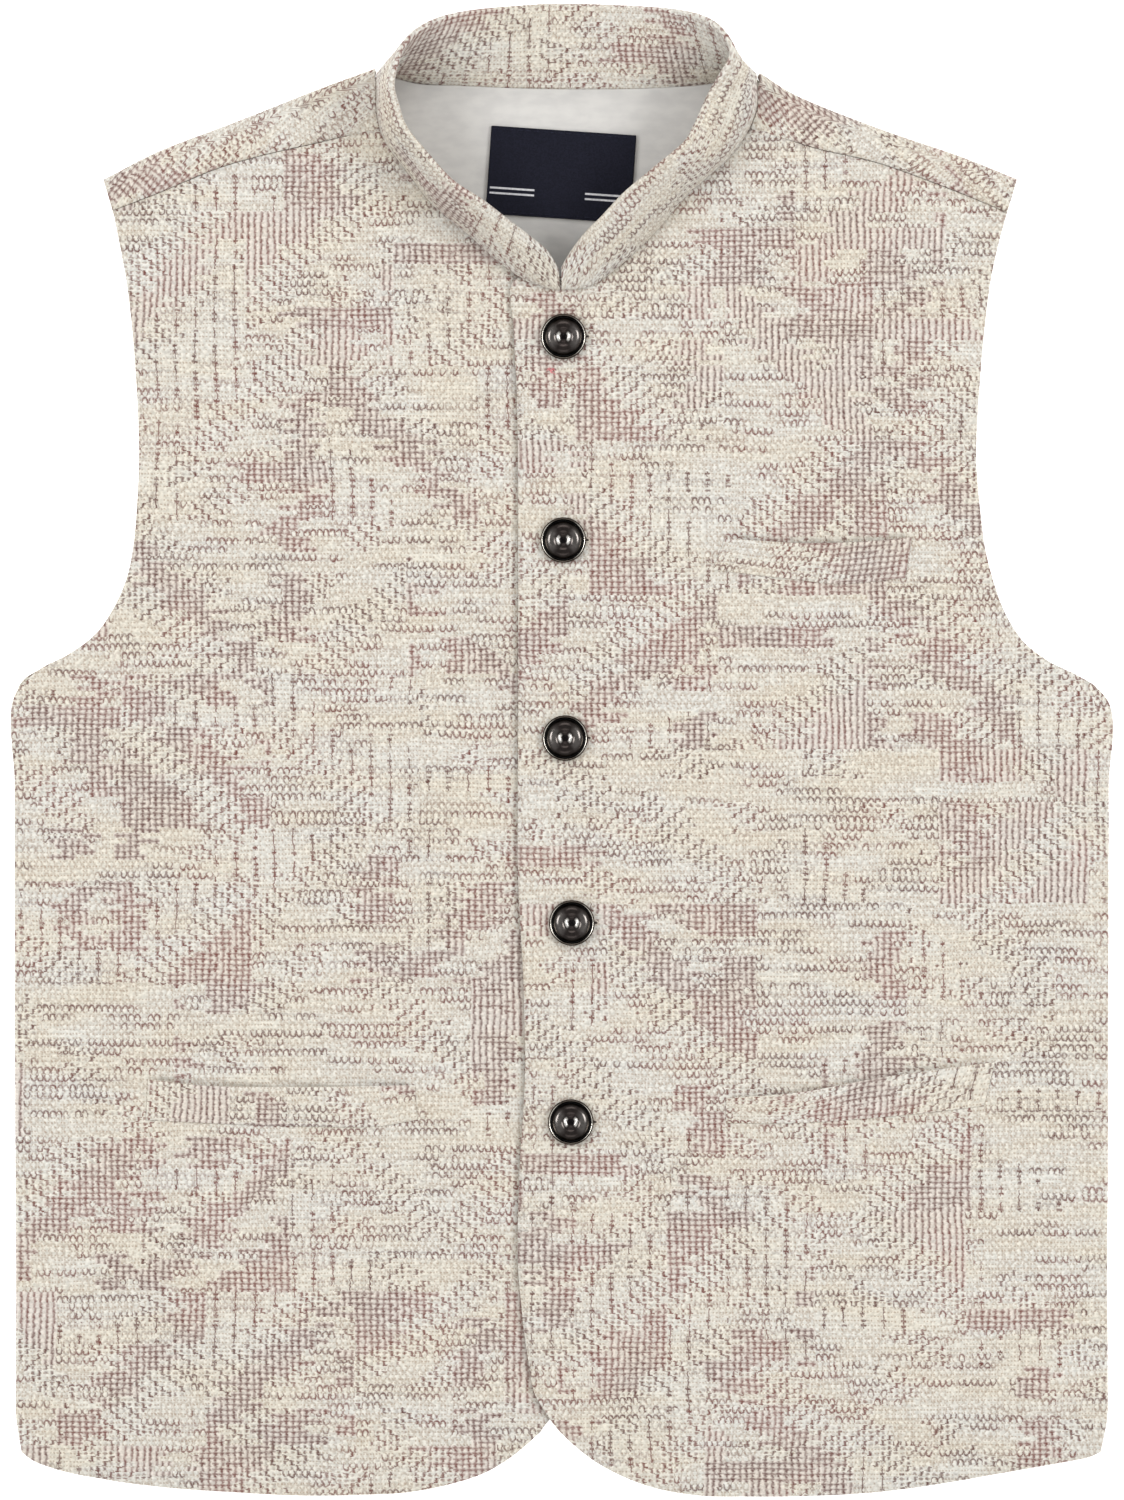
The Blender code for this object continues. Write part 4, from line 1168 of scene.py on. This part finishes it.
def buttonhole(name, place):
    """The end of a buttonhole where it shows past its button: a loop of stitches round a dark strand, painted
    shade in its slit.
    """
    def at(out, aside):
        return place[0] + BUTTON_RADIUS + out, place[1] + aside, OVER_FRONT + 0.2

    loop = [at(-0.2, -0.75), at(0.7, -0.7), at(1.35, 0.0), at(0.7, 0.7), at(-0.2, 0.75)]
    # Painted shade: a dark strand lies along the slit, where the cut is in shade
    slit = [at(-0.2, 0.0), at(0.3, 0.05), at(0.85, 0.0)]
    return threads(name, "jacquard_cloth", [(loop, 0.32, "cream_thread"), (slit, 0.3, "slit_shade_strand")])


def label_stitches(top_height):
    """Rows of short navy stitches that hold the label along its long edges."""
    runs = []
    half_length, half_width = LABEL_SIZE[0] / 2, LABEL_SIZE[1] / 2
    for edge_y in (-half_width + STITCH_INSET, half_width - STITCH_INSET):
        for start in np.arange(-half_length + 1.0, half_length - 3.0, STITCH_STEP):
            x = np.array([start, start + STITCH / 2, start + STITCH])
            z = label_top(x, edge_y, top_height) + (0.0, 0.12, 0.0)
            runs.append((np.column_stack([*label_place(x, edge_y), z]), 0.2, "navy_thread"))
    return threads("label_stitches", "woven_label", runs)


def stray_fluff():
    """A wisp of pink-red fluff on the left front, below the first button."""
    draw = np.random.default_rng(3)
    runs = []
    for _ in range(9):
        middle = np.array(FLUFF_AT) + draw.normal(0.0, 0.45, 2)
        turn, bend = draw.uniform(0, math.pi), draw.uniform(-0.5, 0.5)
        ahead, aside = np.array([math.cos(turn), math.sin(turn)]), np.array([-math.sin(turn), math.cos(turn)])
        half = draw.uniform(0.6, 1.4)
        plan = np.array([middle - half * ahead, middle + bend * aside, middle + half * ahead])
        z = front_top(plan[:, 0], plan[:, 1], OVER_FRONT) + draw.uniform(0.25, 0.5)
        runs.append((np.column_stack([plan, z]), 0.13, "pink_fluff"))
    return threads("stray_fluff", "jacquard_cloth", runs)


# Stage


FLOOR_SIZE, FLOOR_LEVEL = 14.0, -0.0004
FLOOR_GLOW, SKY_LIGHT = 0.6, 0.75
LIGHTS = (
    # name, place, size and power
    ("light_left", (-1.6, 0.3, 1.7), 0.8, 18.0),
    ("light_right", (1.6, 0.4, 1.7), 0.8, 20.0),
    ("light_top", (0.0, 1.7, 1.9), 1.1, 12.0),
    ("light_bottom", (0.0, -1.7, 1.9), 1.1, 6.0),
)
WHITE = (1.0, 1.0, 1.0, 1.0)


def floor():
    """A plain pale floor."""
    bpy.ops.mesh.primitive_plane_add(size=FLOOR_SIZE, location=(0.0, 0.0, FLOOR_LEVEL))
    made = bpy.context.object
    made.name = "floor"
    paint = Finish("floor", roughness=0.9, specular=0.1)
    place = paint.new("ShaderNodeTexCoord")
    grain = paint.noise(paint.value(place.outputs["Object"]), 30.0, 3.0)
    paint.colour(paint.mix(grain, linear(248, 248, 248), linear(252, 252, 252)))
    paint.shader.inputs["Emission Color"].default_value = WHITE
    paint.shader.inputs["Emission Strength"].default_value = FLOOR_GLOW
    made.data.materials.append(paint.material)


def soft_light(name, place, size, power):
    """A square softbox aimed at the middle of the jacket."""
    lamp = bpy.data.lights.new(name, "AREA")
    lamp.size = size
    lamp.energy = power
    made = placed(name, lamp)
    made.location = place
    made.rotation_euler = (-Vector(place)).to_track_quat("-Z", "Y").to_euler()


def stage():
    floor()
    for light in LIGHTS:
        soft_light(*light)
    world = bpy.data.worlds.new("studio")
    world.use_nodes = True
    sky = world.node_tree.nodes["Background"]
    sky.inputs["Color"].default_value = WHITE
    sky.inputs["Strength"].default_value = SKY_LIGHT
    bpy.context.scene.world = world
    bpy.context.scene.view_settings.view_transform = "Standard"


PIXEL = 0.3853         # size of the photograph's pixel on the jacket, in mm
PHOTO_WIDTH, PHOTO_HEIGHT = 1124, 1500
MIDDLE_PIXEL = (562.5, 749.0)     # where the part's origin lies in the photograph
CAMERA_DISTANCE = 12.0


def camera():
    """Straight down, from so far that the picture is nearly a plan."""
    view = bpy.data.cameras.new("camera")
    view.sensor_width = 36.0
    view.lens = view.sensor_width * CAMERA_DISTANCE / (PHOTO_HEIGHT * PIXEL * MM)
    view.clip_end = 60.0
    made = placed("camera", view)
    centre_x = (PHOTO_WIDTH / 2 - MIDDLE_PIXEL[0]) * PIXEL * MM
    centre_y = (MIDDLE_PIXEL[1] - PHOTO_HEIGHT / 2) * PIXEL * MM
    made.location = (centre_x, centre_y, CAMERA_DISTANCE + BODY * MM)
    bpy.context.scene.camera = made


camera()
stage()
finishes = {
    "jacquard_cloth": jacquard_cloth(),
    "lining": lining(),
    "woven_label": woven_label(),
    "gunmetal": gunmetal(),
    "cream_thread": thread("cream_thread", linear(176, 164, 150), linear(206, 197, 184)),
    # a dark strand painted as the shade in each buttonhole's slit
    "slit_shade_strand": thread("slit_shade_strand", linear(46, 38, 36), linear(70, 58, 54)),
    "navy_thread": thread("navy_thread", linear(18, 19, 30), linear(38, 39, 54)),
    "pink_fluff": thread("pink_fluff", linear(196, 96, 104), linear(224, 160, 160)),
}
right_front = front_panel("front_right", "left", UNDER_FRONT, UNDER_EDGES, UNDER_HEM, NECK_SEAM["left"],
                          RIGHT_FRONT_CUT)
left_front = front_panel("front_left", "right", OVER_FRONT, OVER_EDGES, OVER_HEM, NECK_SEAM["right"])
back = back_panel()
collar = collar_band()
lining_top = CLOTH + GAP + LINING_WALL
neck_lining = back_neck_lining(lining_top)
label_height = lining_top + GAP + LABEL_WALL
woven = label(label_height)
label_stitches(label_height)
for number, (name, piece) in enumerate(WELTS.items(), 1):
    welt(name, number, piece["front"], piece["top"], piece["bottom"])
for number, place in enumerate(BUTTONS_AT, 1):
    button(f"button_{number}", place, OVER_FRONT + GAP)
    buttonhole(f"buttonhole_{number}", place)
stray_fluff()
